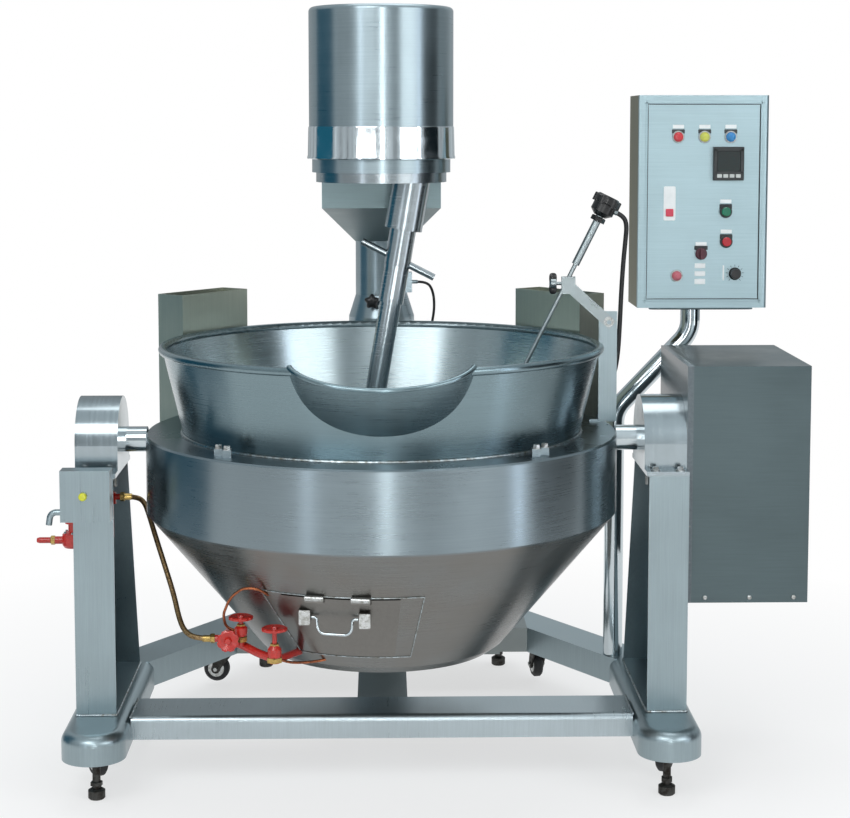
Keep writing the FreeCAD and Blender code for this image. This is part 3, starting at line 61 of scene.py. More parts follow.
JOINTS = {joint["name"]: joint for joint in frame["joints"]}
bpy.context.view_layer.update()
# the kettle's upright axis where it meets the floor; every place below is measured from it
AXIS_X, AXIS_Y = JOINTS["bowl_tilt"]["pos_m"][0], JOINTS["bowl_tilt"]["pos_m"][1]
UP = (0.0, 0.0, 1.0)
DOWN = (0.0, 0.0, -1.0)
FRONT = (0.0, -1.0, 0.0)
BACK = (0.0, 1.0, 0.0)
RIGHT = (1.0, 0.0, 0.0)
LEFT = (-1.0, 0.0, 0.0)
# the jacket's upright band ends at BAND_LOW; below it the radius of the cone shrinks by CONE_SLOPE
JACKET_RADIUS, CONE_SLOPE, BAND_LOW = 0.5385, 0.835, 0.624
# the rails' top, where the posts and the mast stand, and the plane of the control panel's face
RAIL_TOP = 0.1715
PANEL_FACE = 0.203
CORNERS = ("front_left", "front_right", "rear_left", "rear_right")


def at(x, y, z):
    """A point measured from the kettle axis, in the frame."""
    return np.array((AXIS_X + x, AXIS_Y + y, z))


def cone_radius(z):
    return JACKET_RADIUS - CONE_SLOPE * (BAND_LOW - z)


# colours and nodes
def linear(text):
    """An sRGB hex colour as linear red, green, blue and alpha."""
    parts = np.array([int(text[i : i + 2], 16) for i in (1, 3, 5)]) / 255
    parts = np.where(parts <= 0.04045, parts / 12.92, ((parts + 0.055) / 1.055) ** 2.4)
    return (*map(float, parts), 1.0)


def scaled(colour, share, lift=0.0):
    """A colour made darker or lighter, with its alpha at one."""
    return (*(min(part * share + lift, 1.0) for part in colour[:3]), 1.0)


def wire(tree, made, inputs):
    """Links the inputs of a node that are given a socket and sets the others."""
    for key, value in inputs.items():
        if isinstance(value, bpy.types.NodeSocket):
            tree.links.new(value, made.inputs[key])
        else:
            made.inputs[key].default_value = value


def node(tree, kind, inputs=None, **settings):
    """Adds a node with its settings and its inputs."""
    made = tree.nodes.new("ShaderNode" + kind)
    for key, value in settings.items():
        setattr(made, key, value)
    wire(tree, made, inputs or {})
    return made


def noise(tree, place, scale, detail, rough=0.5):
    """A cloudy value about 0.5; rough is how much its finer layers count."""
    inputs = {"Vector": place, "Scale": scale, "Detail": detail, "Roughness": rough}
    return node(tree, "TexNoise", inputs).outputs[0]


def spread(tree, value, low, high, to_low, to_high):
    """A value carried from one range to another and held inside it."""
    return node(tree, "MapRange", {0: value, 1: low, 2: high, 3: to_low, 4: to_high}).outputs[0]


def mixed(tree, share, first, second):
    """Two colours mixed by a share."""
    return node(tree, "Mix", {0: share, 6: first, 7: second}, data_type="RGBA").outputs[2]


def math_node(tree, operation, first, second):
    return node(tree, "Math", {0: first, 1: second}, operation=operation).outputs[0]


def bump(tree, height, strength, distance):
    """The normal of a skin whose relief is a height; distance is in metres."""
    return node(tree, "Bump", {"Strength": strength, "Distance": distance, "Height": height}).outputs[0]


def cleared(owner):
    """The emptied node tree of a material or a world."""
    owner.use_nodes = True
    owner.node_tree.nodes.clear()
    return owner.node_tree


def blank(name):
    """A new material's tree, its object coordinates and its principled shader."""
    tree = cleared(bpy.data.materials.new(name))
    shader = node(tree, "BsdfPrincipled")
    output = node(tree, "OutputMaterial", {"Surface": shader.outputs[0]})
    output.is_active_output = True
    return tree, node(tree, "TexCoord").outputs["Object"], shader


def brushed_steel(name, colour, rough, grain, depth=0.12, turned=False, other=None, where=None):
    """304 stainless sheet, belt brushed: a satin metal whose fine lines run one way and draw a highlight
    out across them. The belt's lines are 0.3 mm apart; 2.4 mm here, so that they show."""
    tree, place, shader = blank(name)
    drawn = node(tree, "Mapping", {"Vector": place, "Scale": grain})
    lines = noise(tree, drawn.outputs[0], 1.0, 5.0, 0.7)
    smear = noise(tree, place, 4.5, 4.0, 0.55)
    body = mixed(tree, smear, scaled(colour, 0.86), scaled(colour, 1.1))
    if other is not None:
        body = mixed(tree, where(tree, place), body, other)
    streak = spread(tree, lines, 0.25, 0.75, 0.9, 1.06)
    shaded = node(tree, "VectorMath", {0: body, "Scale": streak}, operation="SCALE")
    polish = spread(tree, lines, 0.2, 0.8, rough - 0.05, rough + 0.07)
    worn = spread(tree, smear, 0.3, 0.7, -0.04, 0.05)
    wire(tree, shader, {
        "Base Color": shaded.outputs[0], "Metallic": 1.0, "Roughness": math_node(tree, "ADD", polish, worn),
        "Normal": bump(tree, lines, depth, 0.0006),
    })
    if turned:
        round_about = node(tree, "Tangent", direction_type="RADIAL", axis="Z").outputs[0]
        wire(tree, shader, {"Anisotropic": 0.75, "Anisotropic Rotation": 0.25, "Tangent": round_about})


def polished_steel(name, colour, rough=0.09):
    """Stainless polished on a wheel: a near mirror with faint swirls and finger marks."""
    tree, place, shader = blank(name)
    smear = noise(tree, place, 22.0, 5.0, 0.6)
    ripple = noise(tree, place, 9.0, 1.0)
    wire(tree, shader, {
        "Base Color": mixed(tree, smear, scaled(colour, 0.9), colour), "Metallic": 1.0,
        "Roughness": spread(tree, smear, 0.4, 0.75, rough, rough + 0.14),
        "Normal": bump(tree, ripple, 0.06, 0.004),
    })


def bare_metal(name, colour, blotch, rough, spots):
    """Plated, cast or drawn metal left bare: an even sheen with patches of tarnish."""
    tree, place, shader = blank(name)
    patch = noise(tree, place, spots, 6.0, 0.65)
    cover = spread(tree, patch, 0.42, 0.68, 0.0, 1.0)
    wire(tree, shader, {
        "Base Color": mixed(tree, cover, colour, blotch), "Metallic": 1.0,
        "Roughness": spread(tree, patch, 0.3, 0.7, rough - 0.07, rough + 0.16),
        "Normal": bump(tree, patch, 0.15, 0.0005),
    })


def enamel(name, colour, under, rough=0.3):
    """Oven enamel on cast metal: a glossy coat with an orange-peel skin, chipped to the metal in spots."""
    tree, place, shader = blank(name)
    peel = noise(tree, place, 420.0, 2.0)
    chips = noise(tree, place, 130.0, 5.0, 0.7)
    bare = spread(tree, chips, 0.66, 0.68, 0.0, 1.0)
    grime = spread(tree, chips, 0.3, 0.7, 0.72, 1.1)
    shade = node(tree, "VectorMath", {0: colour[:3], "Scale": grime}, operation="SCALE")
    wire(tree, shader, {
        "Base Color": mixed(tree, bare, shade.outputs[0], under), "Metallic": bare, "Roughness": rough,
        "Normal": bump(tree, peel, 0.12, 0.0004), "Coat Weight": 0.35, "Coat Roughness": 0.12,
    })


def moulded(name, colour, rough, grit=650.0, dust=None):
    """Moulded plastic or rubber: a soft sheen over the mould's fine spark texture, with a little dust."""
    tree, place, shader = blank(name)
    spark = noise(tree, place, grit, 3.0)
    film = noise(tree, place, 38.0, 4.0)
    amount = spread(tree, film, 0.4, 0.75, 0.0, 0.35)
    wire(tree, shader, {
        "Base Color": mixed(tree, amount, colour, dust or scaled(colour, 1.5, 0.02)),
        "Roughness": spread(tree, film, 0.3, 0.7, rough - 0.06, rough + 0.12),
        "Normal": bump(tree, spark, 0.1, 0.0003),
    })


def lens_plastic(name, colour):
    """Tinted acrylic of an indicator lens: clear gloss over colour that is deeper where it is thick."""
    tree, place, shader = blank(name)
    cloud = noise(tree, place, 160.0, 2.0)
    wire(tree, shader, {
        "Base Color": mixed(tree, cloud, scaled(colour, 0.55), colour), "Roughness": 0.16,
        "Subsurface Weight": 0.3, "Subsurface Scale": 0.004, "Coat Weight": 0.8, "Coat Roughness": 0.05,
    })


def painted_shade_facing_out(tree, place):
    """One on faces that look away from the kettle's axis and nothing on those that look in; the ones mark where
    the pot's steel takes its painted shade.
    """
    flat = node(tree, "Mapping", {"Vector": place, "Location": (-AXIS_X, -AXIS_Y, 0), "Scale": (1, 1, 0)})
    ray = node(tree, "VectorMath", {0: flat.outputs[0]}, operation="NORMALIZE")
    skin = node(tree, "TexCoord").outputs["Normal"]
    lean = node(tree, "VectorMath", {0: ray.outputs[0], 1: skin}, operation="DOT_PRODUCT")
    return spread(tree, lean.outputs["Value"], -0.15, 0.25, 0.0, 1.0)


def painted_shade_below_band(tree, place):
    """One on the cone below the jacket's band, with a soft edge: painted shade, a darker copy of the jacket's
    steel for the dark floor that the cone reflects.
    """
    height = node(tree, "SeparateXYZ", {0: place}).outputs["Z"]
    edge = spread(tree, height, BAND_LOW - 0.006, BAND_LOW + 0.002, 1.0, 0.0)
    # blotchy noise that varies how strong the painted shade is
    blotch = spread(tree, noise(tree, place, 7.0, 3.0), 0.3, 0.7, 0.75, 1.0)
    return math_node(tree, "MULTIPLY", edge, blotch)


# surfaces
def turn(count):
    """Angles of a full turn, evenly spaced."""
    return np.linspace(0, 2 * math.pi, count, endpoint=False)


def surface(points, wrap_u=False, wrap_v=False):
    """Quads between neighbours of a grid of points; a wrapped side joins its last row to its first."""
    rows, columns = points.shape[:2]
    a, b = np.meshgrid(
        np.arange(rows if wrap_u else rows - 1), np.arange(columns if wrap_v else columns - 1), indexing="ij"
    )
    c, d = (a + 1) % rows, (b + 1) % columns
    quads = np.stack([a * columns + b, a * columns + d, c * columns + d, c * columns + b], -1)
    return points.reshape(-1, 3), quads.reshape(-1, 4)


def square_to(axis):
    """Two unit vectors square to an axis and to each other, and the axis as a unit vector."""
    axis = np.asarray(axis, float) / np.linalg.norm(axis)
    across = np.cross(axis, np.eye(3)[np.argmin(np.abs(axis))])
    across /= np.linalg.norm(across)
    return across, np.cross(axis, across), axis


def lathe(profile, centre, axis, turns=40, phase=0.0, lobes=0):
    """Radius and height along the axis, swept round it: centre + r (cos t) u + r (sin t) v + h axis. With
    lobes a third column s makes the radius swell as 1 + s cos(lobes t), as a star knob's does."""
    u, v, w = square_to(axis)
    profile = np.asarray(profile, float)
    t = phase + turn(turns)
    ring = np.cos(t)[:, None] * u + np.sin(t)[:, None] * v
    swell = 1 + profile[:, 2:] * np.cos(lobes * t) if lobes else np.ones(turns)
    reach = profile[:, :1] * swell
    points = np.asarray(centre) + reach[..., None] * ring + profile[:, 1, None, None] * w
    return surface(points, wrap_v=True)


def run_of(path):
    """The distance along a path at each of its points."""
    return np.concatenate([[0], np.cumsum(np.linalg.norm(np.diff(path, axis=0), axis=1))])


def tube(path, radius, turns, closed=False, up=UP):
    """A section carried along a path: path + r (cos t) n + r (sin t) b, with n square to the path and to a
    fixed direction. Each section has one radius or one for each of its points."""
    step = np.roll(path, -1, 0) - np.roll(path, 1, 0) if closed else np.gradient(path, axis=0)
    step /= np.linalg.norm(step, axis=1, keepdims=True)
    n = np.cross(step, up)
    n /= np.linalg.norm(n, axis=1, keepdims=True)
    b = np.cross(step, n)
    t = turn(turns)[:, None]
    points = path[:, None] + radius[..., None] * (np.cos(t) * n[:, None] + np.sin(t) * b[:, None])
    if not closed:
        points = np.concatenate([path[None, :1].repeat(turns, 1), points, path[None, -1:].repeat(turns, 1)])
    return surface(points, wrap_u=closed, wrap_v=True)


def carried(path, radius, turns, closed=False, up=UP, ripple=0.0, pitch=0.004):
    """A round tube; ripple swells its radius along the path, as a weld bead's scales do."""
    path = np.asarray(path, float)
    swell = radius * (1 + ripple * np.sin(2 * math.pi * run_of(path) / pitch))
    return tube(path, swell[:, None], turns, closed, up)


def oval(count, wide, high, squareness):
    """Points of the rounded rectangle |x/a|^n + |y/b|^n = 1, evenly spaced in angle."""
    c, s = np.cos(turn(count)), np.sin(turn(count))
    reach = (np.abs(c) ** squareness + np.abs(s) ** squareness) ** (-1 / squareness)
    return np.stack([c * reach * wide / 2, s * reach * high / 2], -1)


def tablet(centre, wide, high, thick, normal=FRONT, up=UP, bevel=0.0008, squareness=10.0, count=64):
    """A flat plate with rounded corners and a bevelled face: rings of one rounded rectangle, drawn in by
    the bevel at the face and closed at the middle of both sides."""
    normal, up = np.asarray(normal, float), np.asarray(up, float)
    across = np.cross(up, normal)
    rings = []
    for inset, rise in ((None, 0), (0, 0), (0, thick - bevel), (bevel, thick), (None, thick)):
        if inset is None:
            flat = np.zeros((count, 2))
        else:
            flat = oval(count, wide - 2 * inset, high - 2 * inset, squareness)
        rings.append(np.asarray(centre) + flat[:, :1] * across + flat[:, 1:] * up + rise * normal)
    return surface(np.stack(rings), wrap_v=True)


def hexagon(centre, axis, flats, height, hole=0.0, phase=0.0):
    """A six-sided nut or bolt head with a chamfered face; flats is its width across them."""
    corner = flats / math.sqrt(3)
    rim = flats / 2
    steps = ((hole, 0), (corner, 0), (corner, height * 0.85), (rim, height), (hole, height))
    return lathe(steps, centre, axis, 6, phase)


def pan_screw(centre, axis, radius):
    """A low domed screw head: a quarter ellipse turned about the axis, with a small socket."""
    t = np.linspace(0, math.pi / 2, 7)
    dome = np.stack([radius * np.cos(t), radius * 0.55 * np.sin(t)], -1)
    dome = dome[dome[:, 0] > radius * 0.4]
    socket = [(radius * 0.38, dome[-1, 1]), (radius * 0.34, radius * 0.2), (0, radius * 0.2)]
    return lathe(np.concatenate([[(0, 0)], dome, socket]), centre, axis, 16)


def bolt(centre, axis, flats):
    """A hexagon head on its washer."""
    axis = np.asarray(axis, float)
    washer = lathe([(0, 0), (flats * 0.85, 0), (flats * 0.85, 0.0016), (0, 0.0016)], centre, axis, 24)
    return [washer, hexagon(np.asarray(centre) + axis * 0.0016, axis, flats, flats * 0.55)]


def build(name, parts, finish, body=None, smooth=35.0):
    """One mesh of several surfaces, its doubled points merged and its faces turned outwards."""
    points, quads, start = [], [], 0
    for vertices, faces in parts:
        points.append(vertices)
        quads.append(faces + start)
        start += len(vertices)
    points, quads = np.concatenate(points), np.concatenate(quads)
    mesh = bpy.data.meshes.new(name)
    mesh.from_pydata(points, [], quads)
    work = bmesh.new()
    work.from_mesh(mesh)
    bmesh.ops.remove_doubles(work, verts=work.verts, dist=1e-6)
    bmesh.ops.dissolve_degenerate(work, edges=work.edges, dist=1e-7)
    bmesh.ops.recalc_face_normals(work, faces=work.faces)
    work.to_mesh(mesh)
    work.free()
    mesh.shade_smooth()
    mesh.set_sharp_from_angle(angle=math.radians(smooth))
    mesh.materials.append(material(finish) if isinstance(finish, str) else finish)
    piece = bpy.data.objects.new(name, mesh)
    bpy.context.scene.collection.objects.link(piece)
    if body is not None:
        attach(piece, body)
    return piece


def route(points):
    """The smooth line of a cord: a quadratic NURBS spline on the route's points, read as a plain path."""
    curve = bpy.data.curves.new("route", "CURVE")
    curve.dimensions = "3D"
    spline = curve.splines.new("NURBS")
    spline.points.add(len(points) - 1)
    flat = np.concatenate([[*at(*p), 1.0] for p in points])
    spline.points.foreach_set("co", flat)
    spline.order_u = 3
    spline.use_endpoint_u = True
    spline.resolution_u = 12
    holder = bpy.data.objects.new("route", curve)
    line = bpy.data.meshes.new_from_object(holder)
    path = np.empty(len(line.vertices) * 3)
    line.vertices.foreach_get("co", path)
    bpy.data.objects.remove(holder)
    bpy.data.meshes.remove(line)
    bpy.data.curves.remove(curve)
    return path.reshape(-1, 3)


def even(path, gap):
    """The same path with its points a fixed gap apart."""
    run = run_of(path)
    places = np.linspace(0, run[-1], max(int(run[-1] / gap), 8))
    return np.stack([np.interp(places, run, path[:, i]) for i in range(3)], -1)


# settings in the sidebar
def colour_property(name, text, description):
    return bpy.props.FloatVectorProperty(
        name=name, description=description, default=linear(text)[:3], subtype="COLOR", min=0, max=1
    )


def number_property(name, description, default, low, high, unit="LENGTH"):
    return bpy.props.FloatProperty(
        name=name, description=description, default=default, min=low, max=high, unit=unit
    )


class MixerFinish(bpy.types.PropertyGroup):
    """Colours of the sheet steel, the castings and the plastics."""

    # painted light: the pot's inside gets a brighter copy of its steel, standing in for the white it reflects
    pot_inside: colour_property("Pot inside", "#aebcc0", "Bright satin steel inside the pot")
    # painted shade: the pot's outer wall gets a darker copy of the same steel, standing in for the dark it
    # reflects
    pot_outside: colour_property("Pot outside", "#7f9298", "Brushed steel on the pot's outer wall")
    jacket: colour_property("Jacket band", "#87949a", "Brushed steel of the jacket's band and ledge")
    # painted shade: the cone's colour is a darker, browner copy of the jacket's steel, for the dark floor that
    # the cone reflects
    cone: colour_property("Jacket cone", "#7d7b77", "The cone that the burner's heat has dulled")
    frame: colour_property("Frame", "#97a6ab", "Brushed steel of the posts, rails and crossbars")
    flue: colour_property("Flues", "#b6bbae", "Brushed steel of the flue boxes")
    # painted shade: the drive cover's steel is darkened, for the dark floor it reflects
    cover: colour_property("Drive cover", "#5a676a", "Brushed steel of the drive's cover")
    panel: colour_property("Panel", "#9bb0b6", "Satin steel of the control panel's door")
    # painted shade: the box's sides are a darker, olive copy of the door's steel, for the shade on its sides
    panel_side: colour_property("Panel side", "#85836f", "Duller steel of the control panel's box")
    head: colour_property("Head", "#9aa9af", "Brushed steel of the mixer head and arm")
    valve_red: colour_property("Valve red", "#c0261c", "Enamel of the handwheels and regulator")
    copper: colour_property("Copper", "#b06a48", "Pilot tubes")
    hose: colour_property("Hose", "#a08660", "Braid of the gas hose")


class MixerFittings(bpy.types.PropertyGroup):
    """Sizes of the fittings that are added to the frame."""

    bead: number_property("Weld bead", "Radius of a weld bead", 0.0028, 0.001, 0.006)
    screw: number_property("Cover screw", "Radius of a cover screw's head", 0.0055, 0.002, 0.01)
    flats: number_property("Bolt head", "Width across the flats of a frame bolt", 0.017, 0.008, 0.03)
    hose: number_property("Gas hose", "Diameter over the hose's braid", 0.012, 0.008, 0.02)
    probe_cable: number_property("Probe cable", "Diameter of the probe's cable", 0.011, 0.004, 0.014)
    head_cable: number_property("Head cable", "Diameter of the head motor's cable", 0.007, 0.004, 0.012)


class MixerStudio(bpy.types.PropertyGroup):
    """Camera and light."""

    lens: number_property("Lens", "Focal length on a 36 mm frame", 81.3, 20, 200, "CAMERA")
    pitch: number_property("Pitch", "How far the camera looks down", math.radians(5.5), -1.5, 1.5, "ROTATION")
    shift: number_property(
        "Shift", "Shift of the frame, so that the posts stay nearly upright", -0.116, -0.5, 0.5, "NONE"
    )
    yaw: number_property(
        "Yaw", "How far the camera looks to the right", math.radians(1.3), -1.5, 1.5, "ROTATION"
    )
    distance: number_property("Distance", "From the kettle axis forwards", 4.377, 1, 20)
    height: number_property("Height", "Camera above the floor", 1.495, 0, 5)
    key: number_property("Key light", "Power of the large front light", 60, 0, 500, "POWER")


# finishes
# each row is a maker and what it is given after the name: first its colours, as hex text or as the name of
# a colour in the sidebar, then roughness. Brushed steel goes on with the fineness of its grain along x, y
# and z, the grain's depth, whether it was turned, and a second colour with the rule for where that lies.
FINISHES = {
    # the pot is one steel in two colours: painted light on the inside, painted shade on the outer wall
    "satin_pot_steel": (
        brushed_steel, "pot_inside", 0.26, (8, 8, 420), 0.05, True, "pot_outside", painted_shade_facing_out
    ),
    # the jacket's steel turns to the darker cone colour below the band: painted shade
    "brushed_jacket_steel": (brushed_steel, "jacket", 0.28, (8, 8, 420), 0.06, True, "cone", painted_shade_below_band),
    # the hatch takes the cone's darker colour, the same painted shade
    "brushed_hatch_steel": (brushed_steel, "cone", 0.33, (120, 120, 6), 0.16),
    "brushed_frame_steel": (brushed_steel, "frame", 0.34, (260, 9, 9)),
    "brushed_post_steel": (brushed_steel, "frame", 0.32, (300, 300, 6)),
    "brushed_flue_steel": (brushed_steel, "flue", 0.38, (250, 250, 7)),
    # painted shade: a darker steel for the dark floor that the cover reflects
    "brushed_cover_steel": (brushed_steel, "cover", 0.36, (8, 8, 320)),
    "satin_panel_steel": (brushed_steel, "panel", 0.42, (6, 6, 500), 0.06),
    # painted shade in a darker olive colour; the roughness is a little higher too
    "panel_side_steel": (brushed_steel, "panel_side", 0.45, (300, 300, 6)),
    "brushed_head_steel": (brushed_steel, "head", 0.3, (7, 7, 420), 0.05, True),
    "polished_steel": (polished_steel, "#c6d0d4"),
    "mirror_band": (polished_steel, "#d6dee2", 0.06),
    "ground_shaft_steel": (brushed_steel, "#a9b2b6", 0.22, (7, 7, 500), 0.08),
    "drawn_rod_steel": (brushed_steel, "#9aa4a6", 0.3, (30, 30, 30), 0.0),
    # painted light: the front crossbar gets a lighter copy of the frame's steel, for the light that falls on
    # its front
    "brushed_bar_steel": (brushed_steel, "#adb9be", 0.3, (260, 9, 9)),
    # painted shade: the centre beam and rear crossmember get a darker copy of the frame's steel, for the shade
    # under the kettle and the dark floor they reflect; their roughness is higher too
    "dulled_beam_steel": (brushed_steel, "#838a8a", 0.4, (9, 260, 9)),
    "brushed_arm_steel": (brushed_steel, "#77888b", 0.4, (9, 9, 300)),
    "brushed_housing_steel": (brushed_steel, "#a9b5ba", 0.18, (160, 6, 6), 0.0),
    "weld_bead": (bare_metal, "#aab4b8", "#6d6a60", 0.3, 90),
    "zinc_plate": (bare_metal, "#c3c6c6", "#8d8d86", 0.3, 140),
    "dark_iron": (bare_metal, "#4a4a48", "#2e2a27", 0.5, 80),
    "valve_enamel": (enamel, "valve_red", "#8a8580"),
    "drive_enamel": (enamel, "#59656b", "#8a8580", 0.4),
    "drawn_copper": (bare_metal, "copper", "#5f3b30", 0.28, 70),
    "turned_brass": (bare_metal, "#c2a563", "#7c6a45", 0.26, 120),
    "hose_braid": (bare_metal, "hose", "#5c4b38", 0.42, 160),
    "cable_rubber": (moulded, "#101213", 0.5),
    "tyre_rubber": (moulded, "#17181a", 0.62, 300),
    "black_phenolic": (moulded, "#0d0e10", 0.28, 500),
    "black_abs": (moulded, "#1c2123", 0.38),
    "grey_abs": (moulded, "#b9bdbb", 0.4),
    "screen_glass": (lens_plastic, "#0c1f1d"),
    "label_vinyl": (moulded, "#e8ecec", 0.4, 900, "#c9cfcf"),
    "label_red": (moulded, "#c8304a", 0.4, 900),
    "lens_red": (lens_plastic, "#e0323c"),
    "lens_yellow": (lens_plastic, "#dbe05a"),
    "lens_blue": (lens_plastic, "#2a93d8"),
    "lens_pink": (lens_plastic, "#d06a78"),
    "button_green": (lens_plastic, "#12805e"),
    "button_red": (lens_plastic, "#c9202f"),
    "selector_plastic": (moulded, "#4b1626", 0.34),
    "lighter_button": (moulded, "#cfd02f", 0.36),
    "scraper_ptfe": (moulded, "#e6e3d8", 0.45, 300),
    "tray_plastic": (moulded, "#c9c6ba", 0.45),
}


def tint(value):
    """Hex text or the name of a colour in the sidebar as a linear colour, and any other value as it is."""
    if not isinstance(value, str):
        return value
    if value.startswith("#"):
        return linear(value)
    return (*getattr(bpy.context.scene.mixer_finish, value), 1.0)


def material(name):
    """The finish of that name, made once."""
    if name not in bpy.data.materials:
        maker, *values = FINISHES[name]
        maker(name, *map(tint, values))
    return bpy.data.materials[name]


NODE_FINISHES = {
    "satin_pot_steel": ["pot"],
    "brushed_jacket_steel": ["jacket"],
    "brushed_hatch_steel": ["hatch_door"],
    "brushed_frame_steel": ["right_rail", "left_rail"],
    "brushed_bar_steel": ["front_crossbar"],
    "dulled_beam_steel": ["centre_beam", "rear_crossmember"],
    "brushed_post_steel": ["right_post", "left_post", "ignition_box", "probe_bracket"],
    "brushed_flue_steel": ["flues"],
    "brushed_cover_steel": ["drive_cover"],
    "satin_panel_steel": ["panel_door"],
    "panel_side_steel": ["panel_box"],
    "brushed_head_steel": ["head_housing", "upper_column", "lower_mast"],
    "brushed_arm_steel": ["head_arm"],
    "brushed_housing_steel": ["bearing_housings"],
    "polished_steel": ["trunnions", "stand_pipe", "hatch_handle"],
    "ground_shaft_steel": ["planet_carrier", "stirrer_shaft", "stirrer_bow", "locking_bar"],
    "drawn_rod_steel": ["probe_arm"],
    "dark_iron": ["burner_ring", "levelling_feet", *(corner + "_caster_fork" for corner in CORNERS)],
    "tyre_rubber": [corner + "_wheel" for corner in CORNERS],
    "drive_enamel": ["tilt_drive"],
    "valve_enamel": [
        "gas_regulator", "regulator_knob", "gas_manifold", "main_gas_wheel", "pilot_gas_wheel",
        "burner_gas_wheel",
    ],
    "drawn_copper": ["pilot_tubes"],
    "cable_rubber": ["probe_cable", "head_cable", "gas_hose"],
    "black_phenolic": ["mast_lock_knob", "speed_knob"],
    "selector_plastic": ["selector_switch"],
    "button_green": ["start_button"],
    "button_red": ["stop_button"],
    "lens_red": ["panel_lamps"],
    "black_abs": ["temperature_controller"],
    "lighter_button": ["ignition_button"],
    "scraper_ptfe": ["scraper_blades"],
    "tray_plastic": ["electrical_tray"],
}


class MIXER_OT_finishes(bpy.types.Operator):
    """Give every node of the frame the finish of its real piece"""

    bl_idname = "mixer.finishes"
    bl_label = "Finishes"

    def execute(self, context):
        for name, nodes in NODE_FINISHES.items():
            for each in nodes:
                thing = frame["nodes"][each]
                if not thing.material_slots:
                    thing.data.materials.append(material(name))
                for slot in thing.material_slots:
                    slot.material = material(name)
        return {"FINISHED"}


# cords
HOSE_ROUTE = [
    (-0.602, 0.040, 0.636), (-0.574, 0.040, 0.636), (-0.552, 0.024, 0.629), (-0.537, -0.010, 0.606),
    (-0.517, -0.058, 0.565), (-0.490, -0.112, 0.508), (-0.464, -0.165, 0.452), (-0.450, -0.208, 0.415),
    (-0.434, -0.246, 0.392), (-0.407, -0.270, 0.382), (-0.371, -0.270, 0.382),
]
PROBE_ROUTE = [
    (0.5491, 0.0827, 1.2919), (0.5652, 0.0827, 1.2839), (0.572, 0.086, 1.262), (0.570, 0.093, 1.228),
    (0.566, 0.100, 1.172), (0.563, 0.106, 1.104), (0.561, 0.110, 1.034), (0.558, 0.113, 0.964),
    (0.551, 0.117, 0.914), (0.536, 0.121, 0.876), (0.516, 0.124, 0.845), (0.516, 0.124, 0.812),
]
HEAD_ROUTE = [
    (0.095, 0.668, 1.085), (0.121, 0.668, 1.085), (0.136, 0.672, 1.060), (0.140, 0.676, 1.020),
    (0.134, 0.680, 0.975), (0.122, 0.681, 0.937), (0.087, 0.680, 0.935),
]


def braided(path, radius, wires=7, lay=0.030, height=0.0006, gap=0.0016, turns=42):
    """A hose in wire braid: r + h max(cos(w t + k s), cos(w t - k s)), two sets of wires that cross."""
    path = even(path, gap)
    s = (np.arange(len(path)) * gap)[:, None] * 2 * math.pi * wires / lay
    t = turn(turns)
    weave = np.maximum(np.cos(wires * t + s), np.cos(wires * t - s))
    return tube(path, radius - height + height * weave, turns, up=(0.6, -0.8, 0.0))


class MIXER_OT_cords(bpy.types.Operator):
    """Lay the gas hose, the probe's cable and the head motor's cable along their routes"""

    bl_idname = "mixer.cords"
    bl_label = "Cords"

    def execute(self, context):
        sizes = context.scene.mixer_fittings
        path = route(HOSE_ROUTE)
        hose = build("braided_gas_hose", [braided(path, sizes.hose / 2)], "hose_braid", smooth=80)
        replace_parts(hose, "gas_hose")
        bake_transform(hose)
        collar = [
            (0.0, 0), (0.0085, 0), (0.0085, 0.004), (0.0076, 0.006), (0.0076, 0.018), (0.0068, 0.021),
            (0.0, 0.021),
        ]
        for place, axis, body in ((path[0], RIGHT, "base"), (path[-1], LEFT, "kettle")):
            sleeve = lathe(collar, place, axis, 28)
            nut = hexagon(place - np.array(axis) * 0.006, axis, 0.019, 0.010)
            build("hose_end_" + body, [sleeve, nut], "turned_brass", body)
        for name, points, size, low, high, node_name in (
            ("probe_lead", PROBE_ROUTE, sizes.probe_cable, "probe_arm_body", "kettle", "probe_cable"),
            ("head_motor_lead", HEAD_ROUTE, sizes.head_cable, "head", "base", "head_cable"),
        ):
            path = route(points)
            cable = carried(even(path, 0.004), size / 2, 16, up=(0.3, 0.95, 0.1))
            lead = build(name, [cable], "cable_rubber", smooth=60)
            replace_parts(lead, node_name)
            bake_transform(lead)
        return {"FINISHED"}


# welds and fasteners
def level_ring(radius, height, count, y=0.0):
    """A level circle about the kettle axis, or about a point behind it."""
    t = turn(count)
    return at(0, y, height) + radius * np.stack([np.cos(t), np.sin(t), np.zeros(count)], -1)


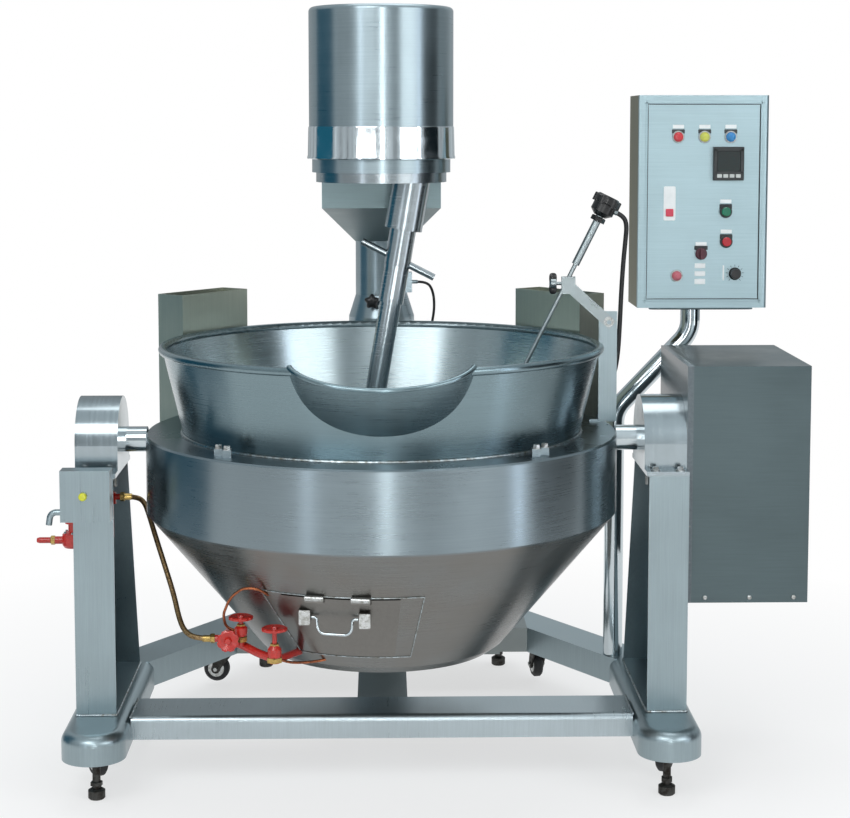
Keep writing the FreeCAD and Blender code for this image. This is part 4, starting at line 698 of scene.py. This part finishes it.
class MIXER_OT_welds(bpy.types.Operator):
    """Run weld beads round the pot, the posts' feet and the mast, and edge the pouring lip and the hatch"""

    bl_idname = "mixer.welds"
    bl_label = "Welds"

    def execute(self, context):
        bead = context.scene.mixer_fittings.bead
        self.lip()
        self.hatch()
        seat = carried(level_ring(0.4565, 0.8012, 720), bead * 1.3, 8, True, ripple=0.08, pitch=0.006)
        build("pot_seat_weld", [seat], "weld_bead", "kettle")
        beads = []
        for side in (1, -1):
            flat = np.pad(oval(520, 0.0925, 0.4325, 40), ((0, 0), (0, 1)))
            beads.append(carried(at(side * 0.645, 0.075, RAIL_TOP) + flat, bead, 8, True, ripple=0.12))
        beads.append(carried(level_ring(0.0865, RAIL_TOP, 260, 0.680), bead * 1.2, 8, True, ripple=0.12))
        for side in (1, -1):
            line = np.linspace(at(side * 0.567, -0.150, 0.1695), at(side * 0.567, -0.010, 0.1695), 90)
            beads.append(carried(line, bead, 8, ripple=0.12))
        build("frame_welds", beads, "weld_bead", "base")
        return {"FINISHED"}

    def lip(self):
        """The bead rolled along the pouring lip: x = a sin t and y = -(b + c cos t), rising to the pot."""
        t = np.linspace(math.radians(-75.5), math.radians(75.5), 200)
        out = 0.4291 + 0.1214 * np.cos(t)
        lip = np.stack([AXIS_X + 0.1965 * np.sin(t), AXIS_Y - out, 1.1862 - 0.404 * out], -1)
        build("lip_bead", [carried(lip, 0.0060, 16)], "satin_pot_steel", "kettle", 60)

    def hatch(self):
        """The edge of the plate round the burner hatch, which lies on the cone, and the hatch's clips."""
        angles, heights = np.radians((234.5, 281.5)), (0.3480, 0.5125)
        corners = [(0, 0), (1, 0), (1, 1), (0, 1), (0, 0)]
        share = np.linspace(0, 1, 60, endpoint=False)
        loop = []
        for (i, j), (k, m) in zip(corners, corners[1:]):
            angle = angles[i] + (angles[k] - angles[i]) * share
            z = heights[j] + (heights[m] - heights[j]) * share
            r = cone_radius(z) + 0.0006
            loop.append(np.stack([AXIS_X + r * np.cos(angle), AXIS_Y + r * np.sin(angle), z], -1))
        fold = carried(np.concatenate(loop), 0.0016, 8, True, up=(0.31, -0.78, 0.54))
        build("hatch_surround", [fold], "weld_bead", "kettle", 60)
        clips = []
        for x in (-0.165, -0.037):
            seat = math.sqrt(cone_radius(0.458) ** 2 - x * x)
            clips.append(tablet(at(x, -(seat + 0.0258), 0.458), 0.0242, 0.0322, 0.0010, bevel=0.0004))
        middle = math.radians(258.0)
        away = np.array((math.cos(middle), math.sin(middle), 0.0))
        along = np.array((-away[1], away[0], 0.0))
        hinge = at(0, 0, 0.509) + (cone_radius(0.508) + 0.0085) * away
        pin = [(0, 0), (0.0062, 0), (0.0062, 0.0404), (0, 0.0404)]
        for shift in (-0.0702, 0.0298):
            clips.append(lathe(pin, hinge + shift * along, along, 24))
        build("hatch_clips", clips, "zinc_plate", "hatch")


class MIXER_OT_fasteners(bpy.types.Operator):
    """Set screws, bolts and lock nuts where the pieces are fixed"""

    bl_idname = "mixer.fasteners"
    bl_label = "Fasteners"

    def execute(self, context):
        sizes = context.scene.mixer_fittings
        heads = []
        for x in (0.735, 0.837, 0.938):
            heads.append(pan_screw(at(x, -0.100, 0.424), FRONT, sizes.screw))
            heads.append(pan_screw(at(x, 0.320, 0.424), BACK, sizes.screw))
        build("cover_screws", heads, "zinc_plate", "base")
        bolts = []
        shank = [(0, 0), (0.005, 0), (0.005, 0.052), (0.0042, 0.054), (0, 0.054)]
        for side in (1, -1):
            for x in (0.616, 0.672):
                for y in (-0.122, 0.106):
                    bolts += bolt(at(side * x, y, 0.722), UP, sizes.flats * 0.75)
            for y in (-0.040, 0.050):
                stem = at(side * 0.622, y, 0.712)
                bolts.append(lathe(shank, stem, DOWN, 20))
                for drop in (0, 0.016):
                    bolts.append(hexagon(stem - (0, 0, drop), DOWN, sizes.flats, 0.009))
        build("bearing_bolts", bolts, "zinc_plate", "base")
        nuts = []
        for x, y in ((0.638, -0.200), (-0.638, -0.200), (0.323, 0.850), (-0.323, 0.850)):
            nuts.append(hexagon(at(x, y, 0.092), UP, 0.028, 0.012, 0.009, 0.3))
            nuts.append(hexagon(at(x, y, 0.030), UP, 0.024, 0.010, 0.009, 0.9))
        build("foot_lock_nuts", nuts, "dark_iron", "base")
        clips = []
        for angle in np.radians((-46.0, -49.0, -131.0, -134.0)):
            clips += bolt(at(0.4968 * math.cos(angle), 0.4968 * math.sin(angle), 0.816), UP, 0.013)
        build("ledge_bolts", clips, "zinc_plate", "kettle")
        return {"FINISHED"}


# control panel
LAMPS = (("red", 0.708, 1.468), ("yellow", 0.771, 1.468), ("blue", 0.8335, 1.468), ("pink", 0.708, 1.136))
BUTTONS = ((0.824, 1.290), (0.826, 1.218))
SELECTOR = (0.766, 1.188)


def plate(x, z, wide, high, thick, squareness=14):
    """A plate on the face of the control panel's door."""
    return tablet(at(x, PANEL_FACE, z), wide, high, thick, squareness=squareness)


class MIXER_OT_panel(bpy.types.Operator):
    """Dress the control panel: lenses, collars, bare plates, the controller's face and the door's edge"""

    bl_idname = "mixer.panel"
    bl_label = "Panel"

    def execute(self, context):
        self.lamps()
        self.labels()
        self.controller()
        self.edges()
        return {"FINISHED"}

    def lamps(self):
        """Four domed lenses in zinc rims; the first takes the place of the frame's lamps."""
        rim = [
            (0.0, 0), (0.0148, 0), (0.0148, 0.002), (0.0136, 0.0035), (0.0120, 0.0035), (0.0120, 0.001),
            (0.0, 0.001),
        ]
        t = np.linspace(0, 1, 40)
        radius = 0.0117 * np.cos(t * math.pi / 2) ** 0.35
        rise = 0.0035 + 0.0085 * t + 0.0002 * np.cos(t * 60)
        dome = np.concatenate([[(0.0, 0.001), (0.0117, 0.001)], np.stack([radius, rise], -1)])
        bezels, lenses = [], []
        for name, x, z in LAMPS:
            spot = at(x, PANEL_FACE, z)
            bezels.append(lathe(rim, spot, FRONT))
            lenses.append(build("lamp_lens_" + name, [lathe(dome, spot, FRONT)], "lens_" + name, "door"))
        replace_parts(lenses[0], "panel_lamps")
        build("lamp_bezels", bezels, "zinc_plate", "door")

    def labels(self):
        """Black collars and holders, white fields left bare, a red square and the speed dial's scale."""
        collar = [(0.0112, 0), (0.0150, 0), (0.0150, 0.005), (0.0138, 0.0065), (0.0112, 0.0065)]
        top_lamps = [(x, z) for _, x, z in LAMPS[:3]]
        holders = []
        for x, z in BUTTONS:
            holders.append(lathe(collar, at(x, PANEL_FACE, z), FRONT))
            holders.append(plate(x, z + 0.012, 0.030, 0.012, 0.0015, 12))
        for x, z in top_lamps:
            holders.append(plate(x, z + 0.013, 0.031, 0.010, 0.0012, 12))
        holders.append(plate(SELECTOR[0], SELECTOR[1] + 0.015, 0.032, 0.010, 0.0012, 12))
        build("button_collars", holders, "black_abs", "door")
        fields = [plate(x, z + 0.0245, 0.027, 0.009, 0.0012) for x, z in (*top_lamps, *BUTTONS, SELECTOR)]
        for z, high in ((1.160, 0.012), (1.141, 0.012), (1.122, 0.013)):
            fields.append(plate(0.764, z, 0.026, high, 0.0008))
        fields.append(plate(0.689, 1.3095, 0.029, 0.082, 0.0010, 16))
        fields.append(plate(0.8205, 1.143, 0.004, 0.036, 0.0008, 8))
        build("bare_label_plates", fields, "label_vinyl", "door")
        square = tablet(at(0.689, PANEL_FACE - 0.001, 1.2875), 0.018, 0.018, 0.003)
        build("indicator_square", [square], "label_red", "door")
        ticks = []
        for angle in np.linspace(math.radians(-50), math.radians(230), 11):
            ray = np.array((math.cos(angle), 0, math.sin(angle)))
            middle = at(0.848, PANEL_FACE, 1.141) + ray * 0.0195
            ticks.append(tablet(middle, 0.0012, 0.005, 0.0004, up=ray, bevel=0.0002, count=16))
        build("dial_scale", ticks, "black_abs", "door")

    def controller(self):
        """The controller's face: a raised frame, a dark window, two blank rows and four keys."""
        x, z, y = 0.8282, 1.4045, PANEL_FACE - 0.008
        bars = []
        for dx, dz, wide, high in (
            (0, 0.0345, 0.0732, 0.010), (0, -0.0290, 0.0732, 0.021), (-0.0320, 0.006, 0.0090, 0.060),
            (0.0320, 0.006, 0.0090, 0.060),
        ):
            bars.append(tablet(at(x + dx, y, z + dz), wide, high, 0.004, bevel=0.0012))
        build("controller_bezel", bars, "black_abs", "door")
        window = tablet(at(x, y, z + 0.006), 0.0560, 0.050, 0.0014, bevel=0.0004)
        build("controller_window", [window], "screen_glass", "door")
        keys = []
        for dx in (-0.0225, -0.0075, 0.0075, 0.0225):
            keys.append(tablet(at(x + dx, y - 0.004, z - 0.029), 0.0115, 0.0085, 0.0022, bevel=0.001))
        build("controller_keys", keys, "grey_abs", "door")

    def edges(self):
        """A dark seal round the door's inset, its folded steel edge and the drip lip under the box."""
        left, right, low, high = 0.632, 0.907, 1.077, 1.549
        x, z, wide, tall = (left + right) / 2, (low + high) / 2, right - left, high - low
        for name, finish, y, more, line, thick, bevel in (
            ("door_seal", "cable_rubber", PANEL_FACE, 0.004, 0.0088, 0.0012, 0.0004),
            ("door_fold", "satin_panel_steel", 0.2006, 0.012, 0.0052, 0.0014, 0.0006),
        ):
            strips = [tablet(at(x, y, end), wide + more, line, thick, bevel=bevel) for end in (low, high)]
            strips += [tablet(at(end, y, z), line, tall + more, thick, bevel=bevel) for end in (left, right)]
            build(name, strips, finish, "door")
        drip = tablet(at(x, 0.226, 1.0560), 0.250, 0.0058, 0.010, bevel=0.001)
        # the drip lip takes the cover's darker steel, the same painted shade
        build("panel_drip_lip", [drip], "brushed_cover_steel", "base")


# gas train, probe and casters
class MIXER_OT_fittings(bpy.types.Operator):
    """Add the gas train's unions, the probe head's lugs, the star knob and the casters' hubs"""

    bl_idname = "mixer.fittings"
    bl_label = "Fittings"

    def execute(self, context):
        self.gas()
        self.probe()
        self.knob()
        self.casters()
        self.head_band()
        return {"FINISHED"}

    def head_band(self):
        """The polished band round the foot of the head's drum, a little proud of it and flared."""
        profile = [
            (0.1620, 1.4930), (0.1645, 1.4930), (0.1652, 1.4900), (0.1668, 1.4280), (0.1680, 1.4245),
            (0.1680, 1.4215), (0.1665, 1.4202), (0.1620, 1.4202),
        ]
        build("head_band", [lathe(profile, at(0, 0, 0), UP, 160)], "mirror_band", "head")

    def gas(self):
        """Brass unions on the gas train, and the regulator's screws and inlet nut."""
        unions = [
            hexagon(at(-0.306, -0.300, 0.384), UP, 0.026, 0.011),
            hexagon(at(-0.306, -0.300, 0.4145), UP, 0.017, 0.008),
            hexagon(at(-0.231, -0.345, 0.382), UP, 0.018, 0.009),
            hexagon(at(-0.231, -0.345, 0.350), UP, 0.031, 0.012),
            hexagon(at(-0.332, -0.290, 0.391), FRONT, 0.016, 0.010),
        ]
        build("train_unions", unions, "turned_brass", "kettle")
        x, y = -0.7173, 0.040
        screws = []
        for angle in np.radians(np.arange(30, 390, 60)):
            spot = at(x + 0.0215 * math.cos(angle), y + 0.0215 * math.sin(angle), 0.552)
            screws.append(hexagon(spot, UP, 0.006, 0.004))
        build("regulator_screws", screws, "zinc_plate", "base")
        build("inlet_nut", [hexagon(at(x - 0.044, y, 0.534), LEFT, 0.019, 0.010)], "turned_brass", "base")

    def probe(self):
        """Six lugs round the terminal head's lid, a hexagon under it and the clamp's wing screw."""
        lean = math.atan2(1.316 - 0.958, 0.523 - 0.346)
        axis = np.array((math.cos(lean), 0, math.sin(lean)))
        top = at(0.523, 0.0827, 1.316)
        u, v, _ = square_to(axis)
        lug = [(0, 0), (0.0062, 0), (0.0062, 0.018), (0.0045, 0.020), (0, 0.020)]
        parts = []
        for angle in np.radians(np.arange(0, 360, 60)):
            spot = top + 0.0275 * (math.cos(angle) * u + math.sin(angle) * v) - axis * 0.006
            parts.append(lathe(lug, spot, axis, 16))
        parts.append(hexagon(top - axis * 0.048, axis, 0.030, 0.012))
        shell = [
            (0, -0.0004), (0.0144, -0.0004), (0.0275, 0.0098), (0.0275, 0.0300), (0.0305, 0.0320),
            (0.0305, 0.0444), (0.0243, 0.0505), (0, 0.0505),
        ]
        parts.append(lathe(shell, top - axis * 0.034, axis, 48))
        build("terminal_head_lugs", parts, "black_phenolic", "probe_arm_body")
        wings = []
        t = np.linspace(0, math.pi, 24)[:, None]
        for side in (1, -1):
            flat = np.sin(t)[..., None] * oval(40, 0.006, 0.016, 3.0)
            depth = np.broadcast_to(0.004 * np.cos(t), flat.shape[:2])
            points = at(0.400, 0.0827, 1.128 + side * 0.012) + np.stack(
                [flat[..., 0] * 3, depth, flat[..., 1] * 1.6], -1
            )
            wings.append(surface(points, wrap_v=True))
        build("clamp_wings", wings, "black_phenolic", "probe_arm_body")
        pivot = bolt(at(0.532, 0.0885, 1.037), FRONT, 0.014)
        build("probe_pivot_bolt", pivot, "zinc_plate", "probe_arm_body")

    def knob(self):
        """The mast's clamp knob: a five-lobed star on a plain boss."""
        profile = [
            (0.0, 0.0, 0), (0.006, 0.0, 0), (0.006, 0.009, 0), (0.012, 0.0095, 0.16), (0.0165, 0.012, 0.16),
            (0.0175, 0.016, 0.16), (0.0165, 0.0205, 0.16), (0.012, 0.0245, 0.096), (0.006, 0.026, 0),
            (0.0, 0.026, 0),
        ]
        star = lathe(profile, at(-0.025, 0.6084, 1.040), FRONT, 60, lobes=5)
        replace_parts(build("star_knob", [star], "black_phenolic", "mast_lock_knob_body", 60), "mast_lock_knob")

    def casters(self):
        """Pressed steel hub discs and axle nuts on both faces of each wheel."""
        disc = [(0.006, 0), (0.022, 0), (0.020, 0.0010), (0.012, 0.0004), (0.010, 0.0016), (0.006, 0.0016)]
        for name in CORNERS:
            roll = JOINTS[name + "_roll"]
            middle, axis = np.array(roll["pos_m"]), np.array(roll["axis"], float)
            hubs = [lathe(disc, middle + way * 0.0119, way, 32) for way in (axis, -axis)]
            build(name + "_hub", hubs, "zinc_plate", name + "_wheel_body")
            nuts = [hexagon(middle + way * 0.0185, way, 0.010, 0.004) for way in (axis, -axis)]
            build(name + "_axle_nuts", nuts, "zinc_plate", name + "_swivel_body")


# studio
class MIXER_OT_studio(bpy.types.Operator):
    """Set the floor, the soft lights and the camera"""

    bl_idname = "mixer.studio"
    bl_label = "Studio"

    def execute(self, context):
        scene = context.scene
        scene.view_settings.view_transform = "Standard"
        self.floor()
        self.world(scene)
        self.lights(scene)
        self.cards()
        self.camera(scene)
        return {"FINISHED"}

    def floor(self):
        """A wide flat disc at z = 0: matte round the machine and, to the eye and in gloss, plain white from
        2.2 m outwards, so that its edge can't be told from the world."""
        disc = lathe([(0.0, 0.0), (1.5, 0.0), (4.0, 0.0), (9.0, 0.0)], (0, 0, 0), UP, 96)
        plain = bpy.data.materials.new("studio_floor")
        tree = cleared(plain)
        matte = node(tree, "BsdfDiffuse", {"Color": linear("#f2f3f3")})
        glow = node(tree, "Emission", {"Color": (1, 1, 1, 1), "Strength": 1.0})
        reach = node(tree, "VectorMath", {0: node(tree, "TexCoord").outputs["Object"]}, operation="LENGTH")
        far = spread(tree, reach.outputs["Value"], 0.9, 2.2, 0.62, 1.0)
        ray = node(tree, "LightPath").outputs
        seen = math_node(tree, "MAXIMUM", ray["Is Camera Ray"], ray["Is Glossy Ray"])
        white = math_node(tree, "MULTIPLY", seen, far)
        both = node(tree, "MixShader", {0: white, 1: matte.outputs[0], 2: glow.outputs[0]})
        node(tree, "OutputMaterial", {"Surface": both.outputs[0]})
        build("studio_floor", [disc], plain)

    def world(self, scene):
        """White to the camera, a soft grey as light and, in gloss, a grey room with upright bands."""
        scene.world = bpy.data.worlds.new("studio_world")
        tree = cleared(scene.world)
        ray = node(tree, "LightPath").outputs
        clear = math_node(tree, "MAXIMUM", ray["Is Camera Ray"], ray["Is Transmission Ray"])
        soft = node(tree, "Background", {"Color": linear("#e9eef2"), "Strength": 0.75})
        white = node(tree, "Background", {"Color": (1, 1, 1, 1), "Strength": 1.0})
        way = node(tree, "SeparateXYZ", {0: node(tree, "TexCoord").outputs["Generated"]}).outputs
        bearing = math_node(tree, "ARCTAN2", way["X"], way["Y"])
        bands = node(
            tree, "TexNoise", {"W": bearing, "Scale": 2.6, "Detail": 4.0, "Roughness": 0.74},
            noise_dimensions="1D",
        ).outputs[0]
        sky = spread(tree, way["Z"], -0.1, 0.9, 0.75, 1.25)
        room = math_node(tree, "MULTIPLY", spread(tree, bands, 0.32, 0.66, 0.24, 1.08), sky)
        seen = node(tree, "Background", {"Color": linear("#e2eaee"), "Strength": room})
        lit = node(tree, "MixShader", {0: ray["Is Glossy Ray"], 1: soft.outputs[0], 2: seen.outputs[0]})
        both = node(tree, "MixShader", {0: clear, 1: lit.outputs[0], 2: white.outputs[0]})
        node(tree, "OutputWorld", {"Surface": both.outputs[0]})

    def lights(self, scene):
        """Three soft lights that look at the middle of the machine."""
        key = scene.mixer_studio.key
        for name, place, size, power in (
            ("key_light", (-1.6, -3.6, 3.4), 2.2, key),
            ("fill_light", (2.6, -3.0, 2.0), 1.8, key * 0.45),
            ("top_light", (0.2, 0.4, 4.2), 2.6, key * 0.6),
        ):
            lamp = bpy.data.lights.new(name, "AREA")
            lamp.shape = "RECTANGLE"
            lamp.size = size
            lamp.size_y = size * 0.8
            lamp.energy = power
            holder = bpy.data.objects.new(name, lamp)
            holder.location = place
            way = np.array((0, 0, 0.8)) - place
            tilt = math.atan2(math.hypot(way[0], way[1]), -way[2])
            holder.rotation_euler = (tilt, 0, math.atan2(-way[0], way[1]))
            scene.collection.objects.link(holder)

    def cards(self):
        """Cards beside the set, seen only in gloss: dark ones give round steel its dark bands and lit
        strips its bright ones."""
        for name, centre, wide, high, normal, colour, power in (
            ("left_card", (-2.6, 0.35, 1.2), 1.9, 2.4, RIGHT, "#2c7690", 0.7),
            ("right_card", (2.9, -0.5, 1.2), 1.6, 2.4, LEFT, "#26343a", 0.35),
            ("front_strip", (0.1, -5.6, 1.9), 0.34, 4.2, BACK, "#ffffff", 11.0),
            ("right_strip", (2.3, -1.5, 1.3), 0.22, 2.6, (-0.84, 0.54, 0), "#eef4ff", 4.0),
            ("left_strip", (-2.0, -3.2, 1.4), 0.25, 2.8, (0.53, 0.85, 0), "#f4f8ff", 3.5),
        ):
            shade = bpy.data.materials.new(name)
            tree = cleared(shade)
            lit = node(tree, "Emission", {"Color": linear(colour), "Strength": power})
            node(tree, "OutputMaterial", {"Surface": lit.outputs[0]})
            card = build(name, [tablet(centre, wide, high, 0.01, normal, UP, 0.002)], shade)
            for way in ("camera", "diffuse", "shadow", "transmission"):
                setattr(card, "visible_" + way, False)

    def camera(self, scene):
        studio = scene.mixer_studio
        eye = bpy.data.cameras.new("photo_camera")
        eye.lens = studio.lens
        eye.sensor_fit = "HORIZONTAL"
        eye.sensor_width = 36.0
        eye.shift_y = studio.shift
        holder = bpy.data.objects.new("photo_camera", eye)
        holder.location = (AXIS_X, AXIS_Y - studio.distance, studio.height)
        holder.rotation_euler = (math.pi / 2 - studio.pitch, 0, -studio.yaw)
        scene.collection.objects.link(holder)
        scene.camera = holder


class MIXER_PT_panel(bpy.types.Panel):
    """The mixer's steps and settings in the sidebar"""

    bl_idname = "MIXER_PT_panel"
    bl_label = "Cooking Mixer"
    bl_space_type = "VIEW_3D"
    bl_region_type = "UI"
    bl_category = "Cooking Mixer"

    def draw(self, context):
        for operator in OPERATORS:
            self.layout.operator(operator.bl_idname)
        for group in (context.scene.mixer_finish, context.scene.mixer_fittings, context.scene.mixer_studio):
            box = self.layout.box()
            for name in group.bl_rna.properties.keys():
                if name not in ("rna_type", "name"):
                    box.prop(group, name)


OPERATORS = (
    MIXER_OT_finishes, MIXER_OT_cords, MIXER_OT_welds, MIXER_OT_fasteners, MIXER_OT_panel,
    MIXER_OT_fittings, MIXER_OT_studio,
)
GROUPS = (
    ("mixer_finish", MixerFinish), ("mixer_fittings", MixerFittings), ("mixer_studio", MixerStudio),
)


def register():
    for name, group in GROUPS:
        bpy.utils.register_class(group)
        setattr(bpy.types.Scene, name, bpy.props.PointerProperty(type=group))
    for kind in OPERATORS + (MIXER_PT_panel,):
        bpy.utils.register_class(kind)


def unregister():
    for kind in reversed(OPERATORS + (MIXER_PT_panel,)):
        bpy.utils.unregister_class(kind)
    for name, group in reversed(GROUPS):
        delattr(bpy.types.Scene, name)
        bpy.utils.unregister_class(group)


def main():
    register()
    for operator in OPERATORS:
        family, step = operator.bl_idname.split(".")
        getattr(getattr(bpy.ops, family), step)()


if __name__ == "__main__":
    main()
